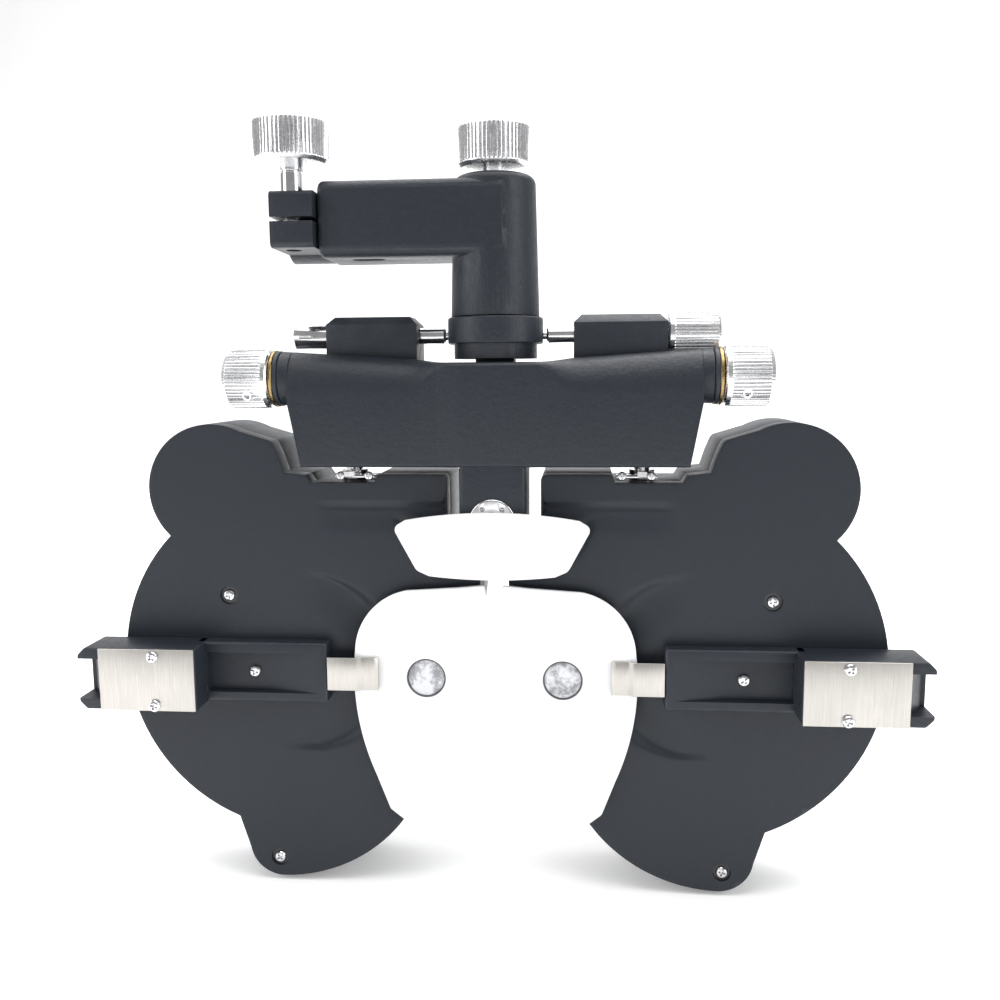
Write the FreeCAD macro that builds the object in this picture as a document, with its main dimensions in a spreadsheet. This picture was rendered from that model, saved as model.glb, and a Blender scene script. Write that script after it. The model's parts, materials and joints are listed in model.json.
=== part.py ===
"""Manual phoropter: two lens housings hung from a cross bar under a swivelling bracket arm.

Instrument coordinates, in millimetres: x across from the mid plane, y from the patient side (negative)
to the examiner side (positive) with the rear covers' face at zero, z up from the interpupillary screw.
place() and at() turn them into the part's frame, whose origin is on the axis of the stand pin's bore.
A side is -1 for the left housing and 1 for the right one, which is its mirror image.
"""

import FreeCAD, Part
import math
import os
import re
from FreeCAD import Placement, Rotation, Vector

DIMENSIONS = """
mid_x 74.6          | stand bore's centre to the instrument's mid plane
face_y -26          | stand bore's axis to the rear covers' face
bar_z -58           | stand bore's axis to the interpupillary screw
running 0.06        | radial running clearance
gap 0.3             | axial gap between moving pieces
eye_x 26.8          | half the interpupillary distance at rest
eye_z -118.4        | sight line
sight_radius 7.7    | clear opening in front of the patient's eye
disc_x 79           | lens disc axle
disc_z -114         | lens disc axle
case_radius 72      | round part of the housing
lobe_x 112          | auxiliary lobe
lobe_z -44.2        | auxiliary lobe
lobe_radius 25.6    | auxiliary lobe
lug_x 88.5          | cylinder lug
lug_z -192          | cylinder lug
lug_radius 14       | cylinder lug
cover_depth 9       | rear cover, from its face to the parting line
cover_face 2.6      | rear cover's face
case_wall 2.4       | housing's side wall
cavity_radius 66    | inside of the round part
seam 0.2            | parting line
case_front 38       | examiner side face of the housing
case_face 3         | housing's face
tab_x 18.2          | inner edge of the hanging tab
tab_top -38.6       | upper edge of the hanging tab
notch_z -41.6       | floor of the notch at the pivot
pivot_x 57.5        | vergence pivot
pivot_y 15          | vergence pivot
pin_radius 3        | vergence pivot and levelling pins
pin_bottom -51      | vergence pivot pin
disc_radius 62      | lens discs
disc_half 1.5       | half the thickness of a lens disc
cell_circle 52.4    | pitch radius of the lens cells
cell_radius 8.2     | lens cell
cell_count 12       | cells in a lens disc
aux_disc_y 16       | auxiliary disc
strong_disc_y 22.5  | strong sphere disc
weak_disc_y 29      | weak sphere disc
gear_teeth 96       | auxiliary disc's rim
pinion_teeth 24     | auxiliary pinion
addendum 0.9        | height of a tooth above its pitch circle
shaft_radius 3.2    | strong sphere shaft
shaft_start 4.4     | strong sphere shaft
boss_radius 7.5     | shaft boss in the rear cover
sleeve_radius 6.2   | weak sphere sleeve
weak_dial_radius 33 | weak sphere dial
weak_dial_height 8  | weak sphere dial
strong_knob_radius 15.5  | strong sphere knob
strong_knob_height 16    | strong sphere knob
aux_shaft_radius 3       | auxiliary lens knob
aux_knob_radius 18       | auxiliary lens knob
aux_knob_height 13       | auxiliary lens knob
axis_x 86           | cylinder knobs
axis_z -181         | cylinder knobs
axis_dial_radius 15 | cylinder axis dial
axis_dial_height 8  | cylinder axis dial
axis_sleeve_radius 5     | cylinder axis dial
power_shaft_radius 2.5   | cylinder power knob
power_knob_radius 9      | cylinder power knob
power_knob_height 13     | cylinder power knob
barrel_radius 15.5  | sight barrel on the housing
barrel_bore 11      | sight barrel on the housing
barrel_top 46       | sight barrel on the housing
unit_y 52           | patient side face of the swinging lens units
unit_depth 7        | swinging lens units
unit_radius 13.4    | swinging lens units
unit_bore 11        | swinging lens units
unit_hub_radius 5   | swinging lens units' pivots
unit_pin_radius 2.5 | swinging lens units' pivots
trunnion_radius 1.2 | cross cylinder's flip axle
flip_grip_radius 2.6 | cross cylinder's flip knob
arm_width 7         | swinging lens units' arms
cross_pivot_x 22    | cross cylinder unit
cross_pivot_z -92   | cross cylinder unit
cross_rest_deg 45   | cross cylinder unit's arm, up from level
prism_pivot_x 30    | rotary prism unit
prism_pivot_z -146  | rotary prism unit
prism_rest_deg -13.4 | rotary prism unit's arm, up from level
base_height 7       | corneal aligner's low base
box_height 18       | corneal aligner's sight box
box_inner 115       | sight box's inner end
box_outer 162.5     | sight box's outer end
box_top -104.6      | sight box
box_bottom -129.4   | sight box
base_inner 66       | inner end of the aligner's base
cap_height 4.4      | sight box's end caps
plate_thickness 0.8 | brushed cover plates
plate_outer 153.5   | brushed cover plate's outer end
channel_depth 3.4   | channel in the aligner's base
channel_top -108.4  | channel in the aligner's base
channel_bottom -125.4 | channel in the aligner's base
clip_top -110       | shield clip
clip_bottom -123.3  | shield clip
clip_bend 52.4      | shield clip, outer end of its bend
clip_end 45.4       | shield clip's free end
clip_thickness 0.8  | shield clip
bar_front -6        | cross bar
bar_back 24         | cross bar
bar_bottom -35.1    | cross bar
bar_half_top 78.6   | cross bar's half width at the tubes
bar_half_bottom 74.2 | cross bar's half width at its bottom
bar_shelf -11.5     | cross bar's full width starts here
panel_front -7      | raised middle panel
panel_half 12.8     | raised middle panel
panel_foot 21       | half width at the foot of the panel's facets
block_top 4.5       | middle block
neck_bottom -64     | forehead rest's neck
screw_y 5.5         | interpupillary screw
screw_z -1.2        | interpupillary screw
tube_end 83         | tapered tubes
tube_end_radius 10.5 | tapered tubes
tube_mid_radius 6   | tapered tubes at the block
nut_radius 6        | carriage's nut
nut_room 0.3        | clearance round the carriage
carriage_inner 14   | carriage's length inboard of its pivot
carriage_outer 3.6  | carriage's length outboard of its pivot
room_inner 40       | carriage's room in the bar
room_outer 72.4     | carriage's room in the bar
room_front 0.5      | carriage's room in the bar
room_back 20        | carriage's room in the bar
screw_radius 3      | interpupillary screw
screw_half 102      | half the interpupillary screw's length
ring_radius 11      | brass bushes
ring_end 86.2       | brass bushes
pd_knob_radius 11.4 | interpupillary knobs
pd_knob_start 86.5  | interpupillary knobs
pd_knob_length 18.2 | interpupillary knobs
swivel_y 14         | swivel axis
hub_shaft_radius 9  | swivel hub's shaft
hub_shaft_top 62    | swivel hub's shaft
collar_radius 18.6  | swivel hub's collar
collar_low 11.6     | swivel hub's collar
collar_high 21.8    | swivel hub's collar
neck_radius 16.2    | swivel hub's neck
neck_low 6          | swivel hub's neck
tongue_half 7.5     | swivel hub's tongue
tongue_front 9.5    | swivel hub's tongue
tongue_back 20.5    | swivel hub's tongue
tongue_bottom -24   | swivel hub's tongue
level_pin_z -16     | levelling pin
level_y 18          | levelling screw's axis
level_z 15.1        | levelling screw's axis
level_inner 30.6    | levelling housings
level_outer 66.5    | levelling housings
level_top 22.6      | levelling housings
level_front 9       | levelling housings
level_back 27       | levelling housings
spindle_radius 3.3  | levelling spindle and plunger
spindle_tip 1.8     | levelling spindle and plunger
spindle_inner 19.9  | levelling spindle and plunger
tip_inner 18.5      | levelling spindle and plunger
level_knob_radius 8.5    | levelling knob
level_knob_length 20     | levelling knob
socket_radius 5     | near point rod's socket
socket_bore 3.2     | near point rod's socket
socket_end 81       | near point rod's socket
socket_depth 12     | near point rod's socket
arm_bottom 44.2     | bracket arm
arm_top 72.6        | bracket arm
arm_front -2.4      | bracket arm
arm_back 30         | bracket arm
arm_end 65.6        | bracket arm's end, from the mid plane
post_radius 17.2    | bracket post at its foot
post_top_radius 15.8 | bracket post at its top
post_bottom 22.2    | bracket post
thumb_radius 14.4   | rotation and tilt clamp knobs
thumb_height 15.5   | rotation and tilt clamp knobs
thumb_shaft 4.2     | rotation and tilt clamp screws
thumb_z 77.8        | rotation knob's underside
tilt_knob_z 79.4    | tilt knob's underside
tilt_screw_x 76.6   | tilt screw, from the mid plane
tilt_screw_y 4      | tilt screw
clamp_inner 66.4    | tilt clamp, from the mid plane
clamp_outer 82.8    | tilt clamp, from the mid plane
clamp_front -6      | tilt clamp's jaws
clamp_low 47.6      | tilt clamp's jaws
clamp_high 68.4     | tilt clamp's jaws
clamp_ring 13       | tilt clamp round the stand bush
bush_radius 8       | stand bush
bush_bore 6.35      | stand bush
bush_flange 10.5    | stand bush's flange
flange_depth 1.8    | stand bush's flange
clamp_back 36       | tilt clamp's jaws
clamp_slit 0.8      | half the slit between the jaws
spigot_y 10         | spigot that joins the tilt clamp to the arm
spigot_radius 5     | spigot that joins the tilt clamp to the arm
spigot_depth 6      | spigot that joins the tilt clamp to the arm
forehead_z -56      | forehead rest's rod
rod_radius 4        | forehead rest's rod
rod_back 44         | forehead rest's rod
guide_radius 9      | forehead rest's guide bush
guide_front -8      | forehead rest's guide bush
guide_hole_radius 0.9 | spanner holes in the guide bush
guide_hole_across 3.9 | spanner holes, from the mid plane
guide_hole_up 6     | spanner holes, above the rod
forehead_knob_radius 10  | forehead rest's knob
forehead_knob_length 14  | forehead rest's knob
pad_front -12.1     | forehead pad
pad_back -8.3       | forehead pad
shield_back -3.4    | face shield
shield_thickness 1.6 | face shield
socket_tube 9.6     | tube behind the face shield
"""

doc = FreeCAD.newDocument("phoropter")
sheet = doc.addObject("Spreadsheet::Sheet", "Dimensions")
D = {}
for row, line in enumerate(DIMENSIONS.strip().splitlines(), start=1):
    definition, note = line.split("|")
    alias, number = definition.split()
    sheet.set(f"A{row}", alias)
    sheet.set(f"B{row}", number)
    sheet.set(f"C{row}", note.strip())
    sheet.setAlias(f"B{row}", alias)
    D[alias] = float(number)
doc.recompute()

ORIGIN = ("mid_x", "face_y", "bar_z")
AXES = {"x": Vector(1, 0, 0), "y": Vector(0, 1, 0), "z": Vector(0, 0, 1)}
SIDES = {"left": -1, "right": 1}
nodes = []


# ---------------------------------------------------------------- helpers

def bound(expression):
    """An expression of dimension names, written for the spreadsheet."""
    def name(found):
        word = found.group()
        return f"Dimensions.{word}" if word in D else word
    return re.sub(r"[a-z][a-z_]*", name, str(expression))


def bind(item, **expressions):
    for prop, expression in expressions.items():
        item.setExpression(prop, bound(expression))
    return item


def place(item, start, rotation=Rotation()):
    """Puts an item at a point of the instrument, given as numbers or expressions."""
    item.Placement = Placement(Vector(), rotation)
    for axis, origin, value in zip("xyz", ORIGIN, start):
        item.setExpression(f"Placement.Base.{axis}", bound(f"{origin} + ({value})"))
    return item


def at(x, y, z):
    """A point of the instrument in the part's frame."""
    return Vector(x + D["mid_x"], y + D["face_y"], z + D["bar_z"])


def mirrored(side, low, high):
    """A span of x on one side, from its distances to the mid plane."""
    return (low, high) if side > 0 else (f"-({high})", f"-({low})")


def cylinder(name, axis, start, radius, length):
    item = doc.addObject("Part::Cylinder", name)
    place(item, start, Rotation(AXES["z"], AXES[axis]))
    return bind(item, Radius=radius, Height=length)


def bar_between(name, axis, low, high, centre, radius):
    """A cylinder along an axis from low to high; centre gives the two other coordinates."""
    start = list(centre)
    start.insert("xyz".index(axis), low)
    return cylinder(name, axis, start, radius, f"({high}) - ({low})")


def cone(name, axis, start, radius_start, radius_end, length):
    item = doc.addObject("Part::Cone", name)
    place(item, start, Rotation(AXES["z"], AXES[axis]))
    return bind(item, Radius1=radius_start, Radius2=radius_end, Height=length)


def box(name, x_span, y_span, z_span):
    item = doc.addObject("Part::Box", name)
    place(item, (x_span[0], y_span[0], z_span[0]))
    sizes = [f"({high}) - ({low})" for low, high in (x_span, y_span, z_span)]
    return bind(item, Length=sizes[0], Width=sizes[1], Height=sizes[2])


def fuse(name, *items):
    item = doc.addObject("Part::MultiFuse", name)
    item.Shapes = list(items)
    item.Refine = True
    return item


def group(name, *items):
    """Separate solids kept in one node, or several tools of one cut."""
    item = doc.addObject("Part::Compound", name)
    item.Links = list(items)
    return item


def cut(name, base, *tools):
    item = doc.addObject("Part::Cut", name)
    item.Base = base
    item.Tool = tools[0] if len(tools) == 1 else fuse(name + "_tools", *tools)
    item.Refine = True
    return item


def edges_picked(name, base, kind, size, wanted):
    """Rounds or bevels the edges of base that wanted(edge) picks."""
    doc.recompute()
    picked = [i for i, edge in enumerate(base.Shape.Edges, start=1) if wanted(edge)]
    item = doc.addObject(kind, name)
    item.Base = base
    item.Edges = [(i, size, size) for i in picked]
    return item


def rounded(name, base, radius, wanted):
    return edges_picked(name, base, "Part::Fillet", radius, wanted)


def bevelled(name, base, size, wanted):
    return edges_picked(name, base, "Part::Chamfer", size, wanted)


def in_plane(axis, value):
    """Picks edges that lie wholly in one plane of the instrument."""
    index = "xyz".index(axis)
    level = at(value, value, value)[index]

    def wanted(edge):
        return all(abs(point[index] - level) < 0.01 for point in edge.discretize(5))
    return wanted


def along(axis):
    """Picks straight edges parallel to an axis."""
    def wanted(edge):
        if not isinstance(edge.Curve, Part.Line):
            return False
        return abs(abs(edge.Curve.Direction.dot(AXES[axis])) - 1) < 1e-6
    return wanted


def corner_arc(before, corner, after, radius):
    """The ends and the middle of the arc that rounds one corner of an outline."""
    to_before = (before - corner).normalize()
    to_after = (after - corner).normalize()
    half = to_before.getAngle(to_after) / 2
    reach = radius / math.tan(half)
    middle = corner + (to_before + to_after).normalize() * (radius / math.sin(half) - radius)
    return corner + to_before * reach, middle, corner + to_after * reach


def outline(points):
    """Edges of a closed outline.

    A point is (u, v), or (u, v, corner radius), or ("arc", u, v) for the middle of an arc.
    """
    flat = [Vector(p[1], p[2], 0) if p[0] == "arc" else Vector(p[0], p[1], 0) for p in points]
    is_arc = [p[0] == "arc" for p in points]
    radii = [0 if p[0] == "arc" or len(p) < 3 else p[2] for p in points]
    enter, leave, edges = list(flat), list(flat), []
    for i, radius in enumerate(radii):
        if radius:
            following = flat[(i + 1) % len(flat)]
            enter[i], middle, leave[i] = corner_arc(flat[i - 1], flat[i], following, radius)
            edges.append(Part.Arc(enter[i], middle, leave[i]))
    for i in range(len(flat)):
        following = (i + 1) % len(flat)
        if is_arc[i]:
            edges.append(Part.Arc(leave[i - 1], flat[i], enter[following]))
        elif not is_arc[following] and leave[i].distanceToPoint(enter[following]) > 1e-6:
            edges.append(Part.LineSegment(leave[i], enter[following]))
    return edges


PLANES = {
    "xz": ("y", Rotation(AXES["x"], 90)),
    "xy": ("z", Rotation()),
    "yz": ("x", Rotation(0.5, 0.5, 0.5, 0.5)),
}


def prism(name, plane, low, high, points):
    """An outline drawn in one plane and extruded along the plane's third axis."""
    third, rotation = PLANES[plane]
    profile = doc.addObject("Sketcher::SketchObject", name + "_outline")
    start = [0, 0, 0]
    start["xyz".index(third)] = low
    place(profile, start, rotation)
    profile.addGeometry(outline(points), False)
    item = doc.addObject("Part::Extrusion", name)
    item.Base = profile
    item.DirMode = "Custom"
    item.Dir = AXES[third]
    item.Solid = True
    return bind(item, LengthFwd=f"({high}) - ({low})")


def polar(centre_u, centre_v, radius, degrees):
    angle = math.radians(degrees)
    return centre_u + radius * math.cos(angle), centre_v + radius * math.sin(angle)


def arc(centre_u, centre_v, radius, *degrees):
    """Points of an arc through two or three angles: its start, its middle and its end."""
    first, middle, last = (polar(centre_u, centre_v, radius, angle) for angle in degrees)
    return [first, ("arc", *middle), last]


def mirror_points(side, points):
    """An outline drawn for the right side, on either side."""
    return [("arc", side * p[1], p[2]) if p[0] == "arc" else (side * p[0], *p[1:]) for p in points]


def node(name, item):
    """Registers a finished sub-part under the name of its file."""
    item.Label = name
    nodes.append(item)
    return item


# ---------------------------------------------------------------- stand clamp and bracket arm

def stand_bush():
    """Bush on the stand's pin: the tilt clamp turns on it."""
    centre = ("-face_y", "-bar_z")
    sleeve = bar_between("bush_sleeve", "x", "-clamp_outer", "-clamp_inner", centre, "bush_radius")
    flange = bar_between("bush_flange", "x", "-clamp_outer - flange_depth", "-clamp_outer - gap", centre,
                         "bush_flange")
    neck = bar_between("bush_neck", "x", "-clamp_outer - 1", "-clamp_outer + 1", centre, "bush_radius")
    bore = bar_between("bush_bore_hole", "x", "-clamp_outer - 3", "-clamp_inner + 1", centre, "bush_bore")
    return node("stand_bush", cut("stand_bush", fuse("bush_solid", sleeve, flange, neck), bore))


def tilt_clamp():
    """Split block that grips the stand bush; the tilt screw pulls its jaws together."""
    x_span = ("-clamp_outer", "-clamp_inner")
    centre = ("-face_y", "-bar_z")
    jaws = box("clamp_jaws", x_span, ("clamp_front", "clamp_back"), ("clamp_low", "clamp_high"))
    jaws = rounded("clamp_jaws_round", jaws, 2.2, along("x"))
    ring = bar_between("clamp_ring_body", "x", *x_span, centre, "clamp_ring")
    spigot = bar_between("clamp_spigot", "x", "-clamp_inner - 1", "-arm_end + spigot_depth",
                         ("spigot_y", "-bar_z"), "spigot_radius")
    body = fuse("clamp_body", jaws, ring)
    bore = bar_between("clamp_bore_hole", "x", "-clamp_outer - 1", "-clamp_inner + 1", centre,
                       "bush_radius + running")
    slit = box("clamp_slit", ("-clamp_outer - 1", "-clamp_inner + 1"), ("clamp_front - 1", "-face_y"),
               ("-bar_z - clamp_slit", "-bar_z + clamp_slit"))
    screw = bar_between("clamp_screw_hole", "z", "clamp_low + 6", "clamp_high + 1",
                        ("-tilt_screw_x", "tilt_screw_y"), "thumb_shaft + gap")
    relief = bar_between("clamp_relief", "z", "clamp_low - 1", "clamp_low + 7",
                         ("-tilt_screw_x", "tilt_screw_y"), "3")
    return node("tilt_clamp", fuse("tilt_clamp", cut("clamp_cut", body, bore, slit, screw, relief), spigot))


def thumb_screw(name, x, y, underside, tip):
    """Knurled clamp knob on its screw."""
    head = cylinder(name + "_head", "z", (x, y, underside), "thumb_radius", "thumb_height")
    head = bevelled(name + "_head_edge", head, 1, lambda edge: True)
    shaft = bar_between(name + "_shaft", "z", tip, f"{underside} + 1", (x, y), "thumb_shaft")
    socket = cylinder(name + "_socket", "z", (x, y, f"{underside} + thumb_height - 2"), "2.4", "3")
    return node(name, cut(name, fuse(name + "_solid", head, shaft), socket))


def bracket_arm():
    beam = box("arm_beam", ("-arm_end", "4"), ("arm_front", "arm_back"), ("arm_bottom", "arm_top"))
    beam = rounded("arm_beam_round", beam, 4.5, along("x"))
    beam = rounded("arm_beam_end", beam, 2, in_plane("x", -D["arm_end"]))
    post = cone("arm_post", "z", ("0", "swivel_y", "post_bottom"), "post_radius", "post_top_radius",
                "arm_top + 2.4 - (post_bottom)")
    post = rounded("arm_post_round", post, 3.5, in_plane("z", D["arm_top"] + 2.4))
    hub_bore = bar_between("arm_hub_bore", "z", "post_bottom - 1", "hub_shaft_top + 1", ("0", "swivel_y"),
                           "hub_shaft_radius + running")
    screw_bore = bar_between("arm_screw_bore", "z", "hub_shaft_top", "arm_top + 4", ("0", "swivel_y"),
                             "thumb_shaft + running")
    spigot_bore = bar_between("arm_spigot_bore", "x", "-arm_end - 1", "-arm_end + spigot_depth + 0.2",
                              ("spigot_y", "-bar_z"), "spigot_radius + 0.02")
    lock_slot = prism("arm_slot", "xy", "arm_bottom - 1", "arm_bottom + 9", [
        (-52, 6), ("arc", -55, 9), (-52, 12), (-45, 12), ("arc", -42, 9), (-45, 6)])
    body = fuse("arm_body", beam, post)
    return node("bracket_arm", cut("bracket_arm", body, hub_bore, screw_bore, spigot_bore, lock_slot))


def swivel_hub():
    """Shaft in the arm's post, the collar the levelling screw bears on, and the tongue that is hung."""
    axis = ("0", "swivel_y")
    shaft = bar_between("hub_shaft", "z", "collar_high - 1", "hub_shaft_top", axis, "hub_shaft_radius")
    collar = bar_between("hub_collar", "z", "collar_low", "collar_high", axis, "collar_radius")
    collar = rounded("hub_collar_round", collar, 0.8, lambda edge: edge.Length > 40)
    neck = bar_between("hub_neck", "z", "neck_low", "collar_low + 1", axis, "neck_radius")
    tongue = box("hub_tongue", ("-tongue_half", "tongue_half"), ("tongue_front", "tongue_back"),
                 ("tongue_bottom", "neck_low + 1"))
    pin_bore = bar_between("hub_pin_bore", "y", "tongue_front - 1", "tongue_back + 1",
                           ("0", "level_pin_z"), "pin_radius + running")
    return node("swivel_hub", cut("swivel_hub", fuse("hub_solid", shaft, collar, neck, tongue), pin_bore))


# ---------------------------------------------------------------- cross bar

def bar_envelope():
    """The bar's outer shape: trapezium, tapered tubes, raised panel and the forehead rest's neck."""
    half_top, half_bottom = D["bar_half_top"], D["bar_half_bottom"]
    shelf = D["bar_shelf"]
    trapezium = prism("bar_trapezium", "xz", "bar_front", "bar_back", [
        (-half_bottom, D["bar_bottom"], 2), (half_bottom, D["bar_bottom"], 2), (half_top, shelf),
        (half_top, D["screw_z"]), (-half_top, D["screw_z"]), (-half_top, shelf)])
    panel = prism("bar_panel", "xy", "bar_bottom - 1", "block_top", [
        (-D["panel_foot"], D["bar_front"] + 2), (-D["panel_foot"], D["bar_front"]),
        (-D["panel_half"], D["panel_front"]), (D["panel_half"], D["panel_front"]),
        (D["panel_foot"], D["bar_front"]), (D["panel_foot"], D["bar_front"] + 2)])
    block = box("bar_block", ("-panel_half", "panel_half"), ("panel_front", "bar_back"),
                ("neck_bottom", "block_top"))
    block = rounded("bar_block_round", block, 2, in_plane("z", D["neck_bottom"]))
    tubes = []
    for side, sign in SIDES.items():
        turn = Rotation(AXES["z"], AXES["x"] * sign)
        tube = doc.addObject("Part::Cone", f"bar_tube_{side}")
        place(tube, (f"{sign} * (panel_half - 2)", "screw_y", "screw_z"), turn)
        bind(tube, Radius1="tube_mid_radius", Radius2="tube_end_radius", Height="tube_end - panel_half + 2")
        tubes.append(tube)
    return fuse("bar_envelope", trapezium, panel, block, *tubes)


def hanger_bar(envelope):
    screw_line = ("screw_y", "screw_z")
    tools = [
        box("bar_tongue_room", ("-tongue_half - 2", "tongue_half + 2"),
            ("tongue_front - 0.4", "tongue_back + 0.4"), ("tongue_bottom - 2", "block_top + 1")),
        bar_between("bar_pin_hole", "y", "screw_y + 4", "bar_back + 1", ("0", "level_pin_z"),
                    "pin_radius + 0.02"),
        bar_between("bar_screw_bore", "x", "-tube_end", "tube_end", screw_line, "screw_radius + running"),
        bar_between("bar_rod_bore", "y", "panel_front - 1", "bar_back + 1", ("0", "forehead_z"),
                    "rod_radius + running"),
    ]
    for side, sign in SIDES.items():
        inner, outer = mirrored(sign, "room_inner", "room_outer")
        start, end = mirrored(sign, "room_inner", "tube_end + 1")
        tools.append(box(f"bar_room_{side}", (inner, outer), ("room_front", "room_back"),
                         ("bar_bottom - 2", "screw_z")))
        tools.append(bar_between(f"bar_nut_room_{side}", "x", start, end, screw_line,
                                 "nut_radius + nut_room"))
    return node("hanger_bar", cut("hanger_bar", envelope, *tools))


def level_pin():
    pin = bar_between("level_pin_rod", "y", "screw_y + 4.2", "bar_back - 0.4", ("0", "level_pin_z"),
                      "pin_radius")
    return node("level_pin", bevelled("level_pin", pin, 0.5, lambda edge: True))


def levelling_housings(envelope):
    """The two blocks on the bar that hold the levelling spindle and the spring plunger."""
    blocks = []
    for side, sign in SIDES.items():
        x_span = mirrored(sign, "level_inner", "level_outer")
        block = box(f"level_block_{side}", x_span, ("level_front", "level_back"), ("screw_z", "level_top"))
        block = bevelled(f"level_block_bevel_{side}", block, 3, in_plane("z", D["level_top"]))
        start, end = mirrored(sign, "level_inner - 1", "level_outer + 1")
        bore = bar_between(f"level_bore_{side}", "x", start, end, ("level_y", "level_z"),
                           "spindle_radius + running")
        blocks.append(cut(f"level_housing_{side}", block, envelope, bore))
    return node("levelling_housings", group("levelling_housings", *blocks))


def spindle(name, sign, outer):
    """A rod whose small rounded tip bears on the hub's collar."""
    start, end = mirrored(sign, "spindle_inner", outer)
    rod = bar_between(name + "_rod", "x", start, end, ("level_y", "level_z"), "spindle_radius")
    rod = bevelled(name + "_rod_edge", rod, 0.8, lambda edge: edge.Length > 10)
    start, end = mirrored(sign, "tip_inner", "spindle_inner + 1.1")
    tip = bar_between(name + "_tip", "x", start, end, ("level_y", "level_z"), "spindle_tip")
    return node(name, fuse(name, rod, tip))


def levelling_knob():
    start = "level_outer + gap"
    line = ("level_y", "level_z")
    knob = bar_between("level_knob_body", "x", start, f"{start} + level_knob_length", line,
                       "level_knob_radius")
    knob = bevelled("level_knob_edge", knob, 0.9, lambda edge: True)
    bore = bar_between("level_knob_bore", "x", "level_outer", "level_outer + 12", line,
                       "spindle_radius + running")
    return node("levelling_knob", cut("levelling_knob", knob, bore))


def near_rod_socket():
    """Slotted tube on the plunger's housing that takes a near point rod."""
    line = ("level_y", "level_z")
    tube = bar_between("socket_tube_body", "x", "-socket_end", "-level_outer", line, "socket_radius")
    tube = bevelled("socket_tube_edge", tube, 0.5, in_plane("x", -D["socket_end"]))
    bore = bar_between("socket_bore_hole", "x", "-socket_end - 1", "-socket_end + socket_depth", line,
                       "socket_bore")
    slot = box("socket_slot", ("-socket_end - 1", "-socket_end + 9"), ("level_front", "level_y"),
               ("level_z - 0.6", "level_z + 0.6"))
    return node("near_rod_socket", cut("near_rod_socket", tube, bore, slot))


def interpupillary_screw():
    screw = bar_between("pd_screw_rod", "x", "-screw_half", "screw_half", ("screw_y", "screw_z"),
                        "screw_radius")
    return node("pd_screw", bevelled("pd_screw", screw, 0.6, lambda edge: edge.Length > 10))


def brass_bushes():
    line = ("screw_y", "screw_z")
    bushes = []
    for side, sign in SIDES.items():
        ring = bar_between(f"bush_ring_{side}", "x", *mirrored(sign, "tube_end", "ring_end"), line,
                           "ring_radius")
        ring = rounded(f"bush_ring_round_{side}", ring, 0.7, lambda edge: edge.Length > 20)
        spigot = bar_between(f"bush_spigot_{side}", "x", *mirrored(sign, "tube_end - 8", "tube_end + 1"),
                             line, "nut_radius + nut_room - 0.02")
        bore = bar_between(f"bush_bore_{side}", "x", *mirrored(sign, "tube_end - 9", "ring_end + 1"), line,
                           "screw_radius + running")
        bushes.append(cut(f"bush_{side}", fuse(f"bush_body_{side}", ring, spigot), bore))
    return node("pd_bushes", group("pd_bushes", *bushes))


def interpupillary_knobs():
    line = ("screw_y", "screw_z")
    knobs = []
    for side, sign in SIDES.items():
        end = "pd_knob_start + pd_knob_length"
        knob = bar_between(f"pd_knob_body_{side}", "x", *mirrored(sign, "pd_knob_start", end), line,
                           "pd_knob_radius")
        outer = sign * (D["pd_knob_start"] + D["pd_knob_length"])
        knob = bevelled(f"pd_knob_edge_{side}", knob, 1.6, in_plane("x", outer))
        bore = bar_between(f"pd_knob_bore_{side}", "x", *mirrored(sign, "pd_knob_start - 1", "screw_half"),
                           line, "screw_radius")
        knobs.append(cut(f"pd_knob_{side}", knob, bore))
    return node("pd_knobs", group("pd_knobs", *knobs))


# ---------------------------------------------------------------- forehead rest

def forehead_guide():
    """Bright bush that guides the forehead rest's rod, with two spanner holes."""
    flange = bar_between("guide_flange", "y", "guide_front", "panel_front", ("0", "forehead_z"),
                         "guide_radius")
    flange = rounded("guide_round", flange, 0.6, in_plane("y", D["guide_front"]))
    bore = bar_between("guide_bore", "y", "guide_front - 3", "panel_front + 1", ("0", "forehead_z"),
                       "rod_radius + running")
    holes = [bar_between(f"guide_hole_{side}", "y", "guide_front - 1", "guide_front + 0.7",
                         (f"{sign} * guide_hole_across", "forehead_z + guide_hole_up"),
                         "guide_hole_radius") for side, sign in SIDES.items()]
    return node("forehead_guide", cut("forehead_guide", flange, bore, *holes))


def forehead_rod():
    rod = bar_between("forehead_rod_body", "y", "pad_back", "rod_back", ("0", "forehead_z"), "rod_radius")
    return node("forehead_rod", bevelled("forehead_rod", rod, 0.6, in_plane("y", D["rod_back"])))


def forehead_pad():
    points = [(-37.8, -57.5, 2.5), (-33, -54.7), ("arc", 0, -51.8), (33, -54.7), (37.8, -57.5, 2.5),
              (28.9, -74, 4), (24, -76.2), ("arc", 0, -77.6), (-24, -76.2), (-28.9, -74, 4)]
    return node("forehead_pad", prism("forehead_pad", "xz", "pad_front", "pad_back", points))


def forehead_knob():
    line = ("0", "forehead_z")
    start = "bar_back + gap"
    knob = bar_between("forehead_knob_body", "y", start, f"{start} + forehead_knob_length", line,
                       "forehead_knob_radius")
    knob = bevelled("forehead_knob_edge", knob, 1, lambda edge: True)
    bore = bar_between("forehead_knob_bore", "y", "bar_back", "bar_back + forehead_knob_length + 2", line,
                       "rod_radius + running")
    return node("forehead_knob", cut("forehead_knob", knob, bore))


# ---------------------------------------------------------------- lens housings

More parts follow.
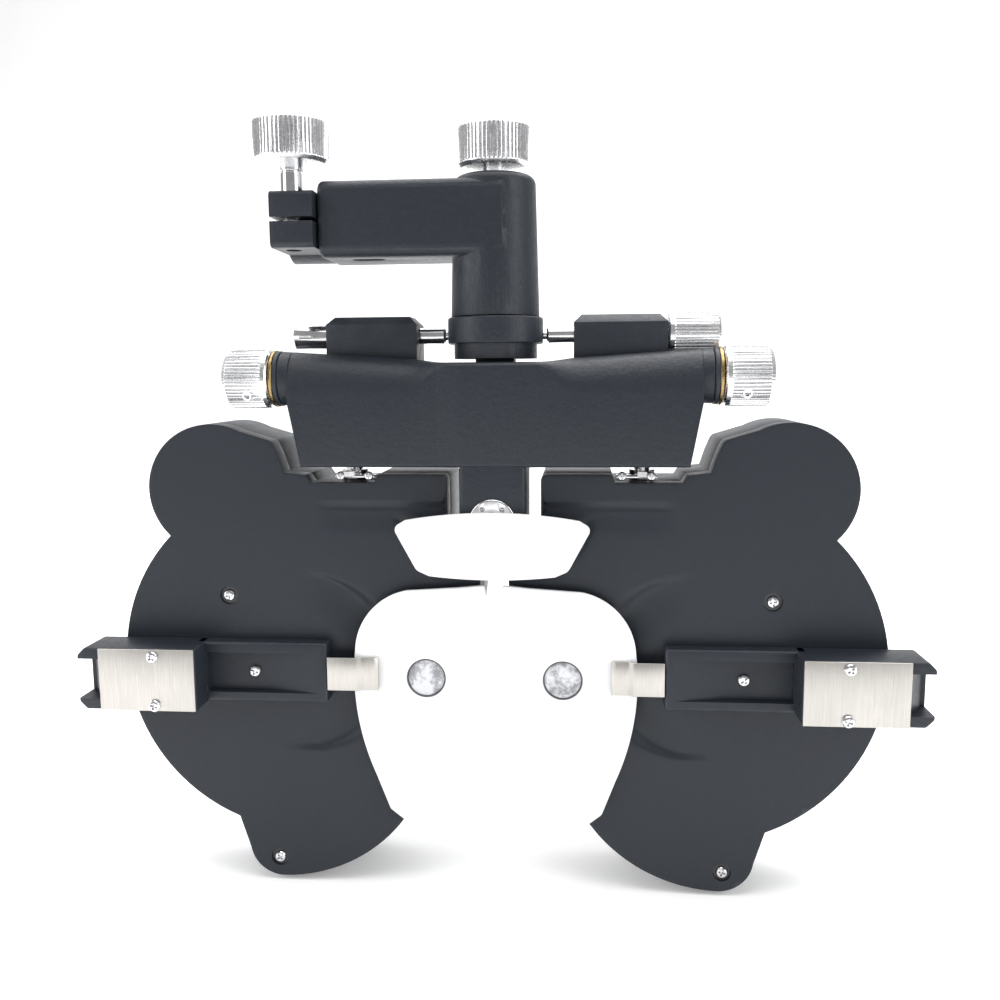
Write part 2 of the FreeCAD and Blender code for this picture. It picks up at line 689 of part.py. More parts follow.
def case_outline(side):
    """Outline of a lens housing: hanging tab, auxiliary lobe, lens disc, cylinder lug, nose edge."""
    lobe = (D["lobe_x"], D["lobe_z"], D["lobe_radius"])
    disc = (D["disc_x"], D["disc_z"], D["case_radius"])
    lug = (D["lug_x"], D["lug_z"], D["lug_radius"])
    top, notch = D["tab_top"], D["notch_z"]
    points = [(D["tab_x"], top, 2), (45.6, top), (46.6, notch), (72, notch), (74, top)]
    points += [(82.6, -37.6), (84.6, -31.5), (87.2, -25.4, 3)]
    points += arc(*lobe, 118, 40, -46)[:2] + arc(*disc, 44.9, -11, -67.5) + arc(*lug, -8, -45, -92)
    points += [("arc", 62.4, -199.9), (37, -178.8, 2), (31, -168), (22, -152), (17, -146)]
    points += [(12.5, -132), (9.5, -114), (6.5, -92), (5.5, -80), (7.5, -69, 3), (D["tab_x"], -64, 3)]
    return mirror_points(side, points)


def wing_cylinder(name, side, low, high, x, z, radius):
    return bar_between(name, "y", low, high, (f"{side} * ({x})", z), radius)


def case_cavity(name, side, low, high):
    """Room for the lens discs, the auxiliary pinion and the cylinder train."""
    parts = [("main", "disc_x", "disc_z", "cavity_radius"),
             ("lobe", "lobe_x", "lobe_z", "lobe_radius - case_wall"),
             ("lug", "lug_x", "lug_z", "lug_radius - case_wall")]
    return [wing_cylinder(f"{name}_{part}", side, low, high, x, z, radius) for part, x, z, radius in parts]


# x and z of each screw, its seat, and its tip.
SCREWS = {"upper": ("107", "-87.3", "0", "7.5"), "lug": ("90.2", "-198", "0", "14"),
          "corneal": ("96", "-117", "channel_depth - base_height", "7.5"),
          "plate_top": ("131.4", "-107.5", "-box_height - plate_thickness", "-box_height + 4"),
          "plate_bottom": ("131.4", "-127", "-box_height - plate_thickness", "-box_height + 4")}
SCREW_HEAD = 2.2
SCREW_SHANK = 1.3
COUNTERBORE = 3.6
SCREW_BOSS = 4.6


def rear_cover(name, side):
    """The face towards the patient, with the shaft's bearing and the screws' bosses."""
    shell = prism(name + "_shell", "xz", "0", "cover_depth", case_outline(side))
    hollow = fuse(name + "_hollow", *case_cavity(name + "_cavity", side, "cover_face", "cover_depth + 1"))
    bosses = [wing_cylinder(name + "_boss", side, "cover_face - 1", "cover_depth", "disc_x", "disc_z",
                            "boss_radius"),
              wing_cylinder(name + "_sight_boss", side, "cover_face - 1", "cover_depth", "eye_x", "eye_z",
                            "socket_tube + 2.4")]
    bosses += [wing_cylinder(f"{name}_{screw}_boss", side, "cover_face - 1", "cover_depth",
                             *SCREWS[screw][:2], SCREW_BOSS) for screw in ("upper", "lug", "corneal")]
    tools = [wing_cylinder(name + "_sight", side, "-1", "cover_depth + 1", "eye_x", "eye_z",
                           "socket_tube + 0.05"),
             wing_cylinder(name + "_bearing", side, "shaft_start - gap", "cover_depth + 1", "disc_x",
                           "disc_z", "shaft_radius + running")]
    for screw in ("upper", "lug"):
        x, z, _, tip = SCREWS[screw]
        tools.append(wing_cylinder(f"{name}_{screw}_well", side, "-1", "1.2", x, z, COUNTERBORE))
        tools.append(wing_cylinder(f"{name}_{screw}_hole", side, "0", f"min({tip} + 0.4; cover_depth + 1)",
                                   x, z, SCREW_SHANK + 0.05))
    x, z, _, tip = SCREWS["corneal"]
    tools.append(wing_cylinder(name + "_corneal_hole", side, "-1", f"{tip} + 0.4", x, z, SCREW_SHANK + 0.05))
    body = cut(name + "_open", shell, hollow)
    return node(name, cut(name, fuse(name + "_body", body, *bosses), *tools))


def front_housing(name, side):
    """The deep shell towards the examiner: sight barrel, dial bearings, unit posts, pivot bore."""
    inside = "case_front - case_face"
    shell = prism(name + "_shell", "xz", "cover_depth + seam", "case_front", case_outline(side))
    hollow = fuse(name + "_hollow", *case_cavity(name + "_cavity", side, "cover_depth", inside))
    barrel = wing_cylinder(name + "_barrel", side, "case_front - 1", "barrel_top", "eye_x", "eye_z",
                           "barrel_radius")
    barrel = bevelled(name + "_barrel_edge", barrel, 1, in_plane("y", D["barrel_top"]))
    posts = [wing_cylinder(f"{name}_{unit}_post", side, "case_front - 1", "unit_y - gap", f"{unit}_pivot_x",
                           f"{unit}_pivot_z", "unit_hub_radius") for unit in ("cross", "prism")]
    pins = [wing_cylinder(f"{name}_{unit}_pin", side, "unit_y - 1", "unit_y + unit_depth + 1.5",
                          f"{unit}_pivot_x", f"{unit}_pivot_z", "unit_pin_radius")
            for unit in ("cross", "prism")]
    lug_boss = wing_cylinder(name + "_lug_boss", side, "cover_depth + seam", "case_front - 1",
                             *SCREWS["lug"][:2], SCREW_BOSS)
    outward = "case_front + 12"
    tools = [
        wing_cylinder(name + "_sight", side, "barrel_top - 6", outward, "eye_x", "eye_z", "barrel_bore"),
        wing_cylinder(name + "_sight_hole", side, "20", outward, "eye_x", "eye_z", "sight_radius + 1"),
        wing_cylinder(name + "_sleeve_bore", side, "20", outward, "disc_x", "disc_z",
                      "sleeve_radius + running"),
        wing_cylinder(name + "_aux_bore", side, "20", outward, "lobe_x", "lobe_z",
                      "aux_shaft_radius + running"),
        wing_cylinder(name + "_axis_bore", side, "28", outward, "axis_x", "axis_z",
                      "axis_sleeve_radius + running"),
        wing_cylinder(name + "_lug_hole", side, "cover_depth", "14.4", *SCREWS["lug"][:2],
                      SCREW_SHANK + 0.05),
        bar_between(name + "_pivot_bore", "z", "pin_bottom - gap", "tab_top",
                    (f"{side} * pivot_x", "pivot_y"), "pin_radius + running"),
    ]
    body = fuse(name + "_body", cut(name + "_open", shell, hollow), barrel, lug_boss, *posts, *pins)
    return node(name, cut(name, body, *tools))


def case_screws(name, side):
    """Cross-recessed screws of one housing."""
    screws = []
    for screw, (x, z, face, tip) in SCREWS.items():
        head_start = f"{face} + 0.1" if screw in ("upper", "lug") else f"{face} - 0.9"
        head_end = f"{face} + 1.2" if screw in ("upper", "lug") else face
        label = f"{name}_{screw}"
        head = wing_cylinder(label + "_head", side, head_start, head_end, x, z, SCREW_HEAD)
        shank = wing_cylinder(label + "_shank", side, f"{head_end} - 0.3", tip, x, z, SCREW_SHANK)
        slots = [box(f"{label}_slot_{wide}", (f"{side} * {x} - {wide}", f"{side} * {x} + {wide}"),
                     (f"{head_start} - 1", f"{head_start} + 0.6"), (f"{z} - {tall}", f"{z} + {tall}"))
                 for wide, tall in ((1.2, 0.25), (0.25, 1.2))]
        screws.append(cut(label, fuse(label + "_solid", head, shank), *slots))
    return node(name, group(name, *screws))


def carriage(name, side):
    """Nut on the interpupillary screw, its web down through the bar, and the vergence pivot pin."""
    inner, outer = "pivot_x - carriage_inner", "pivot_x + carriage_outer"
    span = mirrored(side, inner, outer)
    nut = bar_between(name + "_nut", "x", *span, ("screw_y", "screw_z"), "nut_radius")
    web = box(name + "_web", span, ("room_front + nut_room", "room_back - nut_room"),
              ("bar_bottom + 0.5", "screw_z - nut_radius + 0.5"))
    neck = box(name + "_neck", span, ("room_front + 1", "10"), ("screw_z - nut_radius", "screw_z"))
    pivot = (f"{side} * pivot_x", "pivot_y")
    washer = bar_between(name + "_washer", "z", "notch_z + gap", "notch_z + 4", pivot, "pin_radius + 2")
    pin = bar_between(name + "_pin", "z", "pin_bottom", "bar_bottom + 1", pivot, "pin_radius")
    bore = bar_between(name + "_bore", "x", *mirrored(side, inner + " - 1", outer + " + 1"),
                       ("screw_y", "screw_z"), "screw_radius + running")
    return node(name, cut(name, fuse(name + "_solid", nut, neck, web, washer, pin), bore))


# ---------------------------------------------------------------- lens discs, dials and knobs

def gear(name, side, centre_x, centre_z, pitch_radius, teeth, first_degrees):
    """A spur gear in the auxiliary disc's plane, with straight flanks and a little backlash."""
    step = 360 / teeth
    tip, root = pitch_radius + D["addendum"], pitch_radius - D["addendum"] - 0.15
    points = []
    for i in range(int(teeth)):
        middle = first_degrees + i * step
        for share, radius in ((-0.3, root), (-0.13, tip), (0.13, tip), (0.3, root)):
            x, z = polar(centre_x, centre_z, radius, middle + share * step)
            points.append(Vector(side * x, 0, z))
    item = doc.addObject("Part::Feature", name)
    face = Part.Face(Part.makePolygon(points + points[:1]))
    item.Shape = face.extrude(Vector(0, 2 * D["disc_half"], 0))
    return place(item, ("0", "aux_disc_y - disc_half", "0"))


def mesh_geometry():
    """Direction from the disc's axle to the lobe's, and the pitch radii that share their distance."""
    dx, dz = D["lobe_x"] - D["disc_x"], D["lobe_z"] - D["disc_z"]
    teeth = D["gear_teeth"] + D["pinion_teeth"]
    distance = math.hypot(dx, dz)
    return math.degrees(math.atan2(dz, dx)), distance * D["gear_teeth"] / teeth, \
        distance * D["pinion_teeth"] / teeth


def lens_cells(name, side, low, high):
    """Holes round a disc, one of them on the sight line."""
    first = math.degrees(math.atan2(D["eye_z"] - D["disc_z"], D["eye_x"] - D["disc_x"]))
    cells = []
    for i in range(int(D["cell_count"])):
        x, z = polar(D["disc_x"], D["disc_z"], D["cell_circle"], first + i * 360 / D["cell_count"])
        cells.append(wing_cylinder(f"{name}_cell_{i}", side, f"{low} - 1", f"{high} + 1", x, z,
                                   "cell_radius"))
    return cells


def auxiliary_disc(name, side):
    """Toothed disc of auxiliary lenses, turning freely on the strong sphere shaft."""
    direction, pitch, _ = mesh_geometry()
    low, high = "aux_disc_y - disc_half", "aux_disc_y + disc_half"
    blank = gear(name + "_blank", side, D["disc_x"], D["disc_z"], pitch, D["gear_teeth"], direction)
    bore = wing_cylinder(name + "_bore", side, f"{low} - 1", f"{high} + 1", "disc_x", "disc_z",
                         "shaft_radius + running")
    return node(name, cut(name, blank, bore, *lens_cells(name, side, low, high)))


def auxiliary_knob(name, side):
    """Pinion, shaft and knob of the auxiliary disc."""
    direction, _, pitch = mesh_geometry()
    first = direction + 180 + 180 / D["pinion_teeth"]
    pinion = gear(name + "_pinion", side, D["lobe_x"], D["lobe_z"], pitch, D["pinion_teeth"], first)
    shaft = wing_cylinder(name + "_shaft", side, "aux_disc_y - 3", "case_front + 5", "lobe_x", "lobe_z",
                          "aux_shaft_radius")
    knob = wing_cylinder(name + "_grip", side, "case_front + gap", "case_front + gap + aux_knob_height",
                         "lobe_x", "lobe_z", "aux_knob_radius")
    knob = bevelled(name + "_grip_edge", knob, 1.2, lambda edge: edge.Length > 40)
    return node(name, fuse(name, pinion, shaft, knob))


def strong_sphere_disc(name, side):
    """Disc of strong spheres on the shaft that carries the inner knob."""
    low, high = "strong_disc_y - disc_half", "strong_disc_y + disc_half"
    disc = wing_cylinder(name + "_disc", side, low, high, "disc_x", "disc_z", "disc_radius")
    shaft = wing_cylinder(name + "_shaft", side, "shaft_start",
                          "barrel_top + weak_dial_height + 2", "disc_x", "disc_z", "shaft_radius")
    return node(name, fuse(name, cut(name + "_open", disc, *lens_cells(name, side, low, high)), shaft))


def strong_sphere_knob(name, side):
    start = "case_front + 2 * gap + weak_dial_height"
    knob = wing_cylinder(name + "_grip", side, start, f"{start} + strong_knob_height", "disc_x", "disc_z",
                         "strong_knob_radius")
    knob = bevelled(name + "_grip_edge", knob, 1.2, lambda edge: edge.Length > 40)
    bore = wing_cylinder(name + "_bore", side, f"{start} - 1", "barrel_top + weak_dial_height + 2.1",
                         "disc_x", "disc_z", "shaft_radius")
    return node(name, cut(name, knob, bore))


def weak_sphere_dial(name, side):
    """Disc of weak spheres, its sleeve round the shaft, and the large dial."""
    low, high = "weak_disc_y - disc_half", "weak_disc_y + disc_half"
    start = "case_front + gap"
    disc = wing_cylinder(name + "_disc", side, low, high, "disc_x", "disc_z", "disc_radius")
    sleeve = wing_cylinder(name + "_sleeve", side, low, f"{start} + 2", "disc_x", "disc_z", "sleeve_radius")
    dial = wing_cylinder(name + "_rim", side, start, f"{start} + weak_dial_height", "disc_x", "disc_z",
                         "weak_dial_radius")
    dial = bevelled(name + "_rim_edge", dial, 1.2, lambda edge: edge.Length > 40)
    bore = wing_cylinder(name + "_bore", side, f"{low} - 1", f"{start} + weak_dial_height + 1", "disc_x",
                         "disc_z", "shaft_radius + running")
    body = fuse(name + "_body", cut(name + "_open", disc, *lens_cells(name, side, low, high)), sleeve, dial)
    return node(name, cut(name, body, bore))


def cylinder_axis_dial(name, side):
    start = "case_front + gap"
    sleeve = wing_cylinder(name + "_sleeve", side, "case_front - 3", f"{start} + 1", "axis_x", "axis_z",
                           "axis_sleeve_radius")
    dial = wing_cylinder(name + "_rim", side, start, f"{start} + axis_dial_height", "axis_x", "axis_z",
                         "axis_dial_radius")
    dial = bevelled(name + "_rim_edge", dial, 1, lambda edge: edge.Length > 40)
    bore = wing_cylinder(name + "_bore", side, "case_front - 4", f"{start} + axis_dial_height + 1", "axis_x",
                         "axis_z", "power_shaft_radius + running")
    return node(name, cut(name, fuse(name + "_body", sleeve, dial), bore))


def cylinder_power_knob(name, side):
    start = "case_front + 2 * gap + axis_dial_height"
    shaft = wing_cylinder(name + "_shaft", side, "case_front - 4", f"{start} + 1", "axis_x", "axis_z",
                          "power_shaft_radius")
    knob = wing_cylinder(name + "_grip", side, start, f"{start} + power_knob_height", "axis_x", "axis_z",
                         "power_knob_radius")
    knob = bevelled(name + "_grip_edge", knob, 1, lambda edge: edge.Length > 30)
    return node(name, fuse(name, shaft, knob))


# ---------------------------------------------------------------- swinging lens units

def unit_centre(unit):
    """Where a swinging unit's ring is at rest, and its arm's direction, on the right side."""
    pivot = Vector(D[f"{unit}_pivot_x"], D[f"{unit}_pivot_z"], 0)
    reach = pivot.distanceToPoint(Vector(D["eye_x"], D["eye_z"], 0))
    degrees = D[f"{unit}_rest_deg"]
    return polar(pivot.x, pivot.y, reach, degrees), pivot, degrees


def swinging_arm(name, side, unit, trunnion):
    """Arm and ring holder of a unit; a trunnion bore runs through the ring along the arm."""
    (x, z), pivot, degrees = unit_centre(unit)
    low, high = "unit_y", "unit_y + unit_depth"
    ring = wing_cylinder(name + "_ring", side, low, high, x, z, "unit_radius")
    hub = wing_cylinder(name + "_hub", side, low, high, pivot.x, pivot.y, "unit_hub_radius")
    half = D["arm_width"] / 2
    along_arm = Vector(x - pivot.x, z - pivot.y, 0)
    across = Vector(-along_arm.y, along_arm.x, 0).normalize() * half
    inner, outer = pivot, pivot + along_arm * 0.6
    corners = [inner + across, outer + across, outer - across, inner - across]
    blade = prism(name + "_blade", "xz", "unit_y + 1", "unit_y + unit_depth - 1",
                  mirror_points(side, [(corner.x, corner.y) for corner in corners]))
    tools = [wing_cylinder(name + "_bore", side, f"{low} - 1", f"{high} + 1", x, z, "unit_bore"),
             wing_cylinder(name + "_pivot_bore", side, f"{low} - 1", f"{high} + 1", pivot.x, pivot.y,
                           "unit_pin_radius + running")]
    if trunnion:
        tools.append(radial_pin(name + "_trunnion_bore", side, unit, 0, 20, "trunnion_radius + running"))
    return node(name, cut(name, fuse(name + "_solid", ring, hub, blade), *tools))


def radial_pin(name, side, unit, low, high, radius):
    """A cylinder from the ring's centre outwards, along the arm's direction."""
    (x, z), _, degrees = unit_centre(unit)
    direction = Vector(side * math.cos(math.radians(degrees)), 0, math.sin(math.radians(degrees)))
    start_x, start_z = polar(x, z, low, degrees)
    item = doc.addObject("Part::Cylinder", name)
    place(item, (side * start_x, "unit_y + unit_depth / 2", start_z), Rotation(AXES["z"], direction))
    return bind(item, Radius=radius, Height=high - low)


def cross_cylinder_lens(name, side):
    """Flip lens in its ring, turned over by the small knob outside the holder."""
    (x, z), _, _ = unit_centre("cross")
    middle = "unit_y + unit_depth / 2"
    rim = wing_cylinder(name + "_rim", side, f"{middle} - 1.6", f"{middle} + 1.6", x, z, "unit_bore - 0.5")
    window = wing_cylinder(name + "_window", side, f"{middle} - 3", f"{middle} + 3", x, z, "unit_bore - 2")
    glass = wing_cylinder(name + "_glass", side, f"{middle} - 0.7", f"{middle} + 0.7", x, z, "unit_bore - 2")
    trunnion = radial_pin(name + "_trunnion", side, "cross", 9.6, 15, "trunnion_radius")
    grip = radial_pin(name + "_grip", side, "cross", 13.8, 17, "flip_grip_radius")
    return node(name, fuse(name, cut(name + "_open", rim, window), glass, trunnion, grip))


def rotary_prism_ring(name, side):
    (x, z), _, _ = unit_centre("prism")
    low, high = "unit_y + 0.4", "unit_y + unit_depth + gap"
    sleeve = wing_cylinder(name + "_sleeve", side, low, f"{high} + 1", x, z, "unit_bore - running")
    rim = wing_cylinder(name + "_rim", side, high, f"{high} + 3", x, z, "unit_radius - 0.4")
    rim = bevelled(name + "_rim_edge", rim, 0.6, lambda edge: edge.Length > 40)
    window = wing_cylinder(name + "_window", side, "unit_y", f"{high} + 4", x, z, "unit_bore - 2.2")
    glass = wing_cylinder(name + "_glass", side, "unit_y + 2", "unit_y + 4.5", x, z, "unit_bore - 2.2")
    return node(name, fuse(name, cut(name + "_open", fuse(name + "_body", sleeve, rim), window), glass))


# ---------------------------------------------------------------- corneal aligner and face shield

def corneal_housing(name, side):
    """Low channelled base and the raised sight box, open at its outer end between two caps."""
    base = box(name + "_base", mirrored(side, "base_inner", "box_outer"), ("-base_height", "0"),
               ("box_bottom + 0.8", "box_top"))
    tower = prism(name + "_tower", "xz", "-box_height", "1 - base_height", mirror_points(side, [
        (D["box_inner"], D["box_bottom"]), (D["box_outer"], D["box_bottom"], 3),
        (D["box_outer"], D["box_top"], 3), (D["box_inner"], D["box_top"])]))
    channel = box(name + "_channel", mirrored(side, "base_inner - 1", "box_inner - 0.6"),
                  ("-base_height - 1", "channel_depth - base_height"), ("channel_bottom", "channel_top"))
    window = prism(name + "_window", "xy", "box_bottom + cap_height", "box_top - cap_height",
                   mirror_points(side, [(D["plate_outer"] - 1.5, -D["box_height"] - 1),
                                        (D["box_outer"] + 1, -D["box_height"] - 1),
                                        (D["box_outer"] + 1, -D["base_height"] + 0.5),
                                        (D["box_outer"] - 1.5, -D["base_height"] + 0.5)]))
    hole = wing_cylinder(name + "_screw_hole", side, "-base_height - 1", "1", *SCREWS["corneal"][:2],
                         SCREW_SHANK + 0.05)
    holes = [wing_cylinder(f"{name}_{screw}_hole", side, "-box_height - 1", "-box_height + 4.4",
                           *SCREWS[screw][:2], SCREW_SHANK + 0.05) for screw in ("plate_top", "plate_bottom")]
    return node(name, cut(name, fuse(name + "_solid", base, tower), channel, window, hole, *holes))


def corneal_plate(name, side):
    """Brushed cover plate on the sight box."""
    span = mirrored(side, "box_inner + 0.2", "plate_outer")
    plate = box(name + "_sheet", span, ("-box_height - plate_thickness", "-box_height"),
                ("box_bottom + 0.1", "box_top - 0.1"))
    holes = [wing_cylinder(f"{name}_{screw}_hole", side, "-box_height - 2", "-box_height + 1",
                           *SCREWS[screw][:2], SCREW_SHANK + 0.05) for screw in ("plate_top", "plate_bottom")]
    return node(name, cut(name, plate, *holes))


def shield_clip(name, side):
    """Spring clip bent down over the face shield's edge."""
    thick, bend, end = D["clip_thickness"], D["clip_bend"], D["clip_end"]
    front = -D["base_height"] - 0.6
    over = D["shield_back"] - D["shield_thickness"] - 0.1
    points = [(D["base_inner"] - 0.2, front), (D["base_inner"] - 0.2, front + thick), (bend, front + thick),
              (bend - 1, over), (end, over), (end, over - thick), (bend - 1.5, over - thick),
              (bend - 0.5, front)]
    return node(name, prism(name, "xy", "clip_bottom", "clip_top", mirror_points(side, points)))


def face_shield(name, side):
    """Thin white shield with a short tube that plugs into the sight opening."""
    points = [(3.5, -80.8, 1), (14, -81.9), (34, -83.3), ("arc", 48, -91), (55, -107), ("arc", 54.9, -131.5),
              (47.5, -159), (42.2, -173, 2), (34.2, -179.4, 2.5), (19, -155), (5.6, -129.6, 4),
              (1.8, -111.9), (1.3, -103), (2.4, -87)]
    plate = prism(name + "_plate", "xz", "shield_back - shield_thickness", "shield_back",
                  mirror_points(side, points))
    tube = wing_cylinder(name + "_tube", side, "shield_back - 0.5", "cover_depth - 3", "eye_x", "eye_z",
                         "socket_tube")
    hole = wing_cylinder(name + "_hole", side, "shield_back - 4", "cover_depth", "eye_x", "eye_z",
                         "sight_radius")
    return node(name, cut(name, fuse(name + "_solid", plate, tube), hole))


def sight_window(name, side):
    """Glass that closes the sight opening behind the face shield."""
    glass = wing_cylinder(name + "_glass", side, "cover_depth - 2.8", "cover_depth - 1.2", "eye_x", "eye_z",
                          "socket_tube")
    return node(name, bevelled(name, glass, 0.3, lambda edge: edge.Length > 20))


# ---------------------------------------------------------------- assembly

stand_bush()
tilt_clamp()
thumb_screw("tilt_knob", "-tilt_screw_x", "tilt_screw_y", "tilt_knob_z", "clamp_low + 6.4")
thumb_screw("rotation_knob", "0", "swivel_y", "thumb_z", "hub_shaft_top + 2")
bracket_arm()
swivel_hub()
bar_shape = bar_envelope()
hanger_bar(bar_shape)
level_pin()
levelling_housings(bar_shape)
spindle("levelling_spindle", 1, "level_outer + 9")
spindle("spring_plunger", -1, "level_outer - 4")
levelling_knob()
near_rod_socket()
interpupillary_screw()
brass_bushes()
interpupillary_knobs()
forehead_guide()
forehead_rod()
forehead_pad()
forehead_knob()

WING_PARTS = [rear_cover, front_housing, case_screws, carriage, auxiliary_disc, auxiliary_knob,
              strong_sphere_disc, strong_sphere_knob, weak_sphere_dial, cylinder_axis_dial,
              cylinder_power_knob, cross_cylinder_lens, rotary_prism_ring, corneal_housing,
              corneal_plate, shield_clip, face_shield, sight_window]
for side_name, side_sign in SIDES.items():
    for build in WING_PARTS:
        build(f"{side_name}_{build.__name__}", side_sign)
    swinging_arm(f"{side_name}_cross_cylinder_arm", side_sign, "cross", True)
    swinging_arm(f"{side_name}_rotary_prism_arm", side_sign, "prism", False)

doc.recompute()
failed = [item.Name for item in doc.Objects if {"Invalid", "Error"} & set(item.State)]
bad = [item.Label for item in nodes if item.Shape.isNull() or not item.Shape.isValid()]
if failed or bad:
    raise SystemExit(f"failed objects: {failed}; bad sub-parts: {bad}")

os.makedirs("parts", exist_ok=True)
for item in nodes:
    item.Shape.exportStep(f"parts/{item.Label}.step")
    print(f"{item.Label:32} {len(item.Shape.Solids)} solid(s) {item.Shape.Volume / 1000:9.2f} cm3")
print(f"{len(nodes)} sub-parts")
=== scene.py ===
"""Looks of the manual phoropter: a knurled, painted and brushed instrument in a white studio.

Lengths in the builders are millimetres of the instrument: x from its mid plane, y from the patient
side (negative) towards the examiner, z up from the interpupillary screw's level. at() puts them in
the frame, in metres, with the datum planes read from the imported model.
"""
import bpy
import bmesh
import json
import math
from mathutils import Matrix, Vector
from mathutils.geometry import delaunay_2d_cdt


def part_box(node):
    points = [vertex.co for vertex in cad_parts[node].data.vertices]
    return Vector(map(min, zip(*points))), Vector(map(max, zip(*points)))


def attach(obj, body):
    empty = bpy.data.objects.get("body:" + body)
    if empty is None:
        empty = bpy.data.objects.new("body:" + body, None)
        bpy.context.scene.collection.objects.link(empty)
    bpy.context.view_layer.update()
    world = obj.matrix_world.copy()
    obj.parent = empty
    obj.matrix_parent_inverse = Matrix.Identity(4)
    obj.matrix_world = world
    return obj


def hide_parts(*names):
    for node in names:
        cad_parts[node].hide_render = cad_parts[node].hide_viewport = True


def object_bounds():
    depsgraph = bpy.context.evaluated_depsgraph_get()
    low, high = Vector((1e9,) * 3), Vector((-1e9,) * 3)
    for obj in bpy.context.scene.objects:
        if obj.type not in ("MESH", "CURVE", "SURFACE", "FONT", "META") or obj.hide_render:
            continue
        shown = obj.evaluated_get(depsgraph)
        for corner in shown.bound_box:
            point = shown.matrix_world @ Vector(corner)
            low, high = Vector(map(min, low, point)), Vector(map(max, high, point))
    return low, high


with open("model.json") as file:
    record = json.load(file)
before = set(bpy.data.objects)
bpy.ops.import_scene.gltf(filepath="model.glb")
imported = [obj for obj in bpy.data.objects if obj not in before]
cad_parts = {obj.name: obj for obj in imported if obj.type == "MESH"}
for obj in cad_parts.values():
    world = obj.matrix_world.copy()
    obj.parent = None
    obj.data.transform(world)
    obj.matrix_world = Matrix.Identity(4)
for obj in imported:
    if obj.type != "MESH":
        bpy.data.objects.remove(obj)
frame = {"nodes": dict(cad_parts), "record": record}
cad_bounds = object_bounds()

MM = 0.001
SIDES = {"left": -1, "right": 1}
EXAMINER = (0, 1, 0)
UP = (0, 0, 1)
SLOTS = {part["node"]: part["material_slot"] for part in frame["record"]["subparts"]}
BODY_OF = {node: body for body, members in frame["record"]["behaviour"]["bodies"].items() for node in members}


def middle(node):
    low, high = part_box(node)
    return (low + high) / 2


SCREW_BELOW = 1.2
DATUM = Vector((middle("swivel_hub").x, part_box("right_rear_cover")[0].y,
                middle("pd_screw").z + SCREW_BELOW * MM))


def at(x, y, z):
    return DATUM + Vector((x, y, z)) * MM


def local(point):
    """A point of the frame in the instrument's millimetres."""
    return (Vector(point) - DATUM) / MM


# ---------------------------------------------------------------- materials

class Shader:
    """A Principled material with short ways to wire its textures."""

    def __init__(self, name, **sockets):
        self.material = bpy.data.materials.new(name)
        self.material.use_nodes = True
        self.tree = self.material.node_tree
        self.principled = self.tree.nodes["Principled BSDF"]
        for socket, value in sockets.items():
            self.set(socket, value)
        self.place = self.tree.nodes.new("ShaderNodeTexCoord").outputs["Object"]

    def set(self, socket, value):
        target = self.principled.inputs[socket.replace("_", " ").title().replace("Ior", "IOR")]
        if isinstance(value, bpy.types.NodeSocket):
            self.tree.links.new(value, target)
        else:
            target.default_value = (*value, 1) if isinstance(value, tuple) and len(value) == 3 else value

    def add(self, kind, inputs=(), **settings):
        node = self.tree.nodes.new(kind)
        for key, value in settings.items():
            setattr(node, key, value)
        for key, value in dict(inputs).items():
            if isinstance(value, bpy.types.NodeSocket):
                self.tree.links.new(value, node.inputs[key])
            else:
                node.inputs[key].default_value = value
        return node

    def noise(self, scale, detail=3.0, rough=0.55, stretch=(1, 1, 1)):
        """Noise in the piece's own space; scale counts features per metre."""
        where = self.add("ShaderNodeMapping", {"Vector": self.place, "Scale": stretch}).outputs["Vector"]
        fields = {"Vector": where, "Scale": scale, "Detail": detail, "Roughness": rough}
        return self.add("ShaderNodeTexNoise", fields).outputs["Fac"]

    def spread(self, fac, low, high, start=0.3, end=0.7):
        """Stretches a field from start..end to low..high."""
        fields = {"Value": fac, "From Min": start, "From Max": end, "To Min": low, "To Max": high}
        return self.add("ShaderNodeMapRange", fields).outputs["Result"]

    def blend(self, fac, first, second):
        node = self.add("ShaderNodeMix", data_type="RGBA")
        self.tree.links.new(fac, node.inputs[0])
        for socket, value in ((node.inputs[6], first), (node.inputs[7], second)):
            if isinstance(value, bpy.types.NodeSocket):
                self.tree.links.new(value, socket)
            else:
                socket.default_value = (*value, 1)
        return node.outputs[2]

    def total(self, first, second, operation="ADD"):
        node = self.add("ShaderNodeMath", {0: first, 1: second}, operation=operation)
        return node.outputs[0]

    def bump(self, height, distance, strength=1.0):
        fields = {"Height": height, "Distance": distance, "Strength": strength}
        self.set("normal", self.add("ShaderNodeBump", fields).outputs["Normal"])

    def worn_edges(self, start=0.53, end=0.60):
        """A field that is 1 on convex edges and 0 elsewhere."""
        pointed = self.add("ShaderNodeNewGeometry").outputs["Pointiness"]
        return self.spread(pointed, 0, 1, start, end)


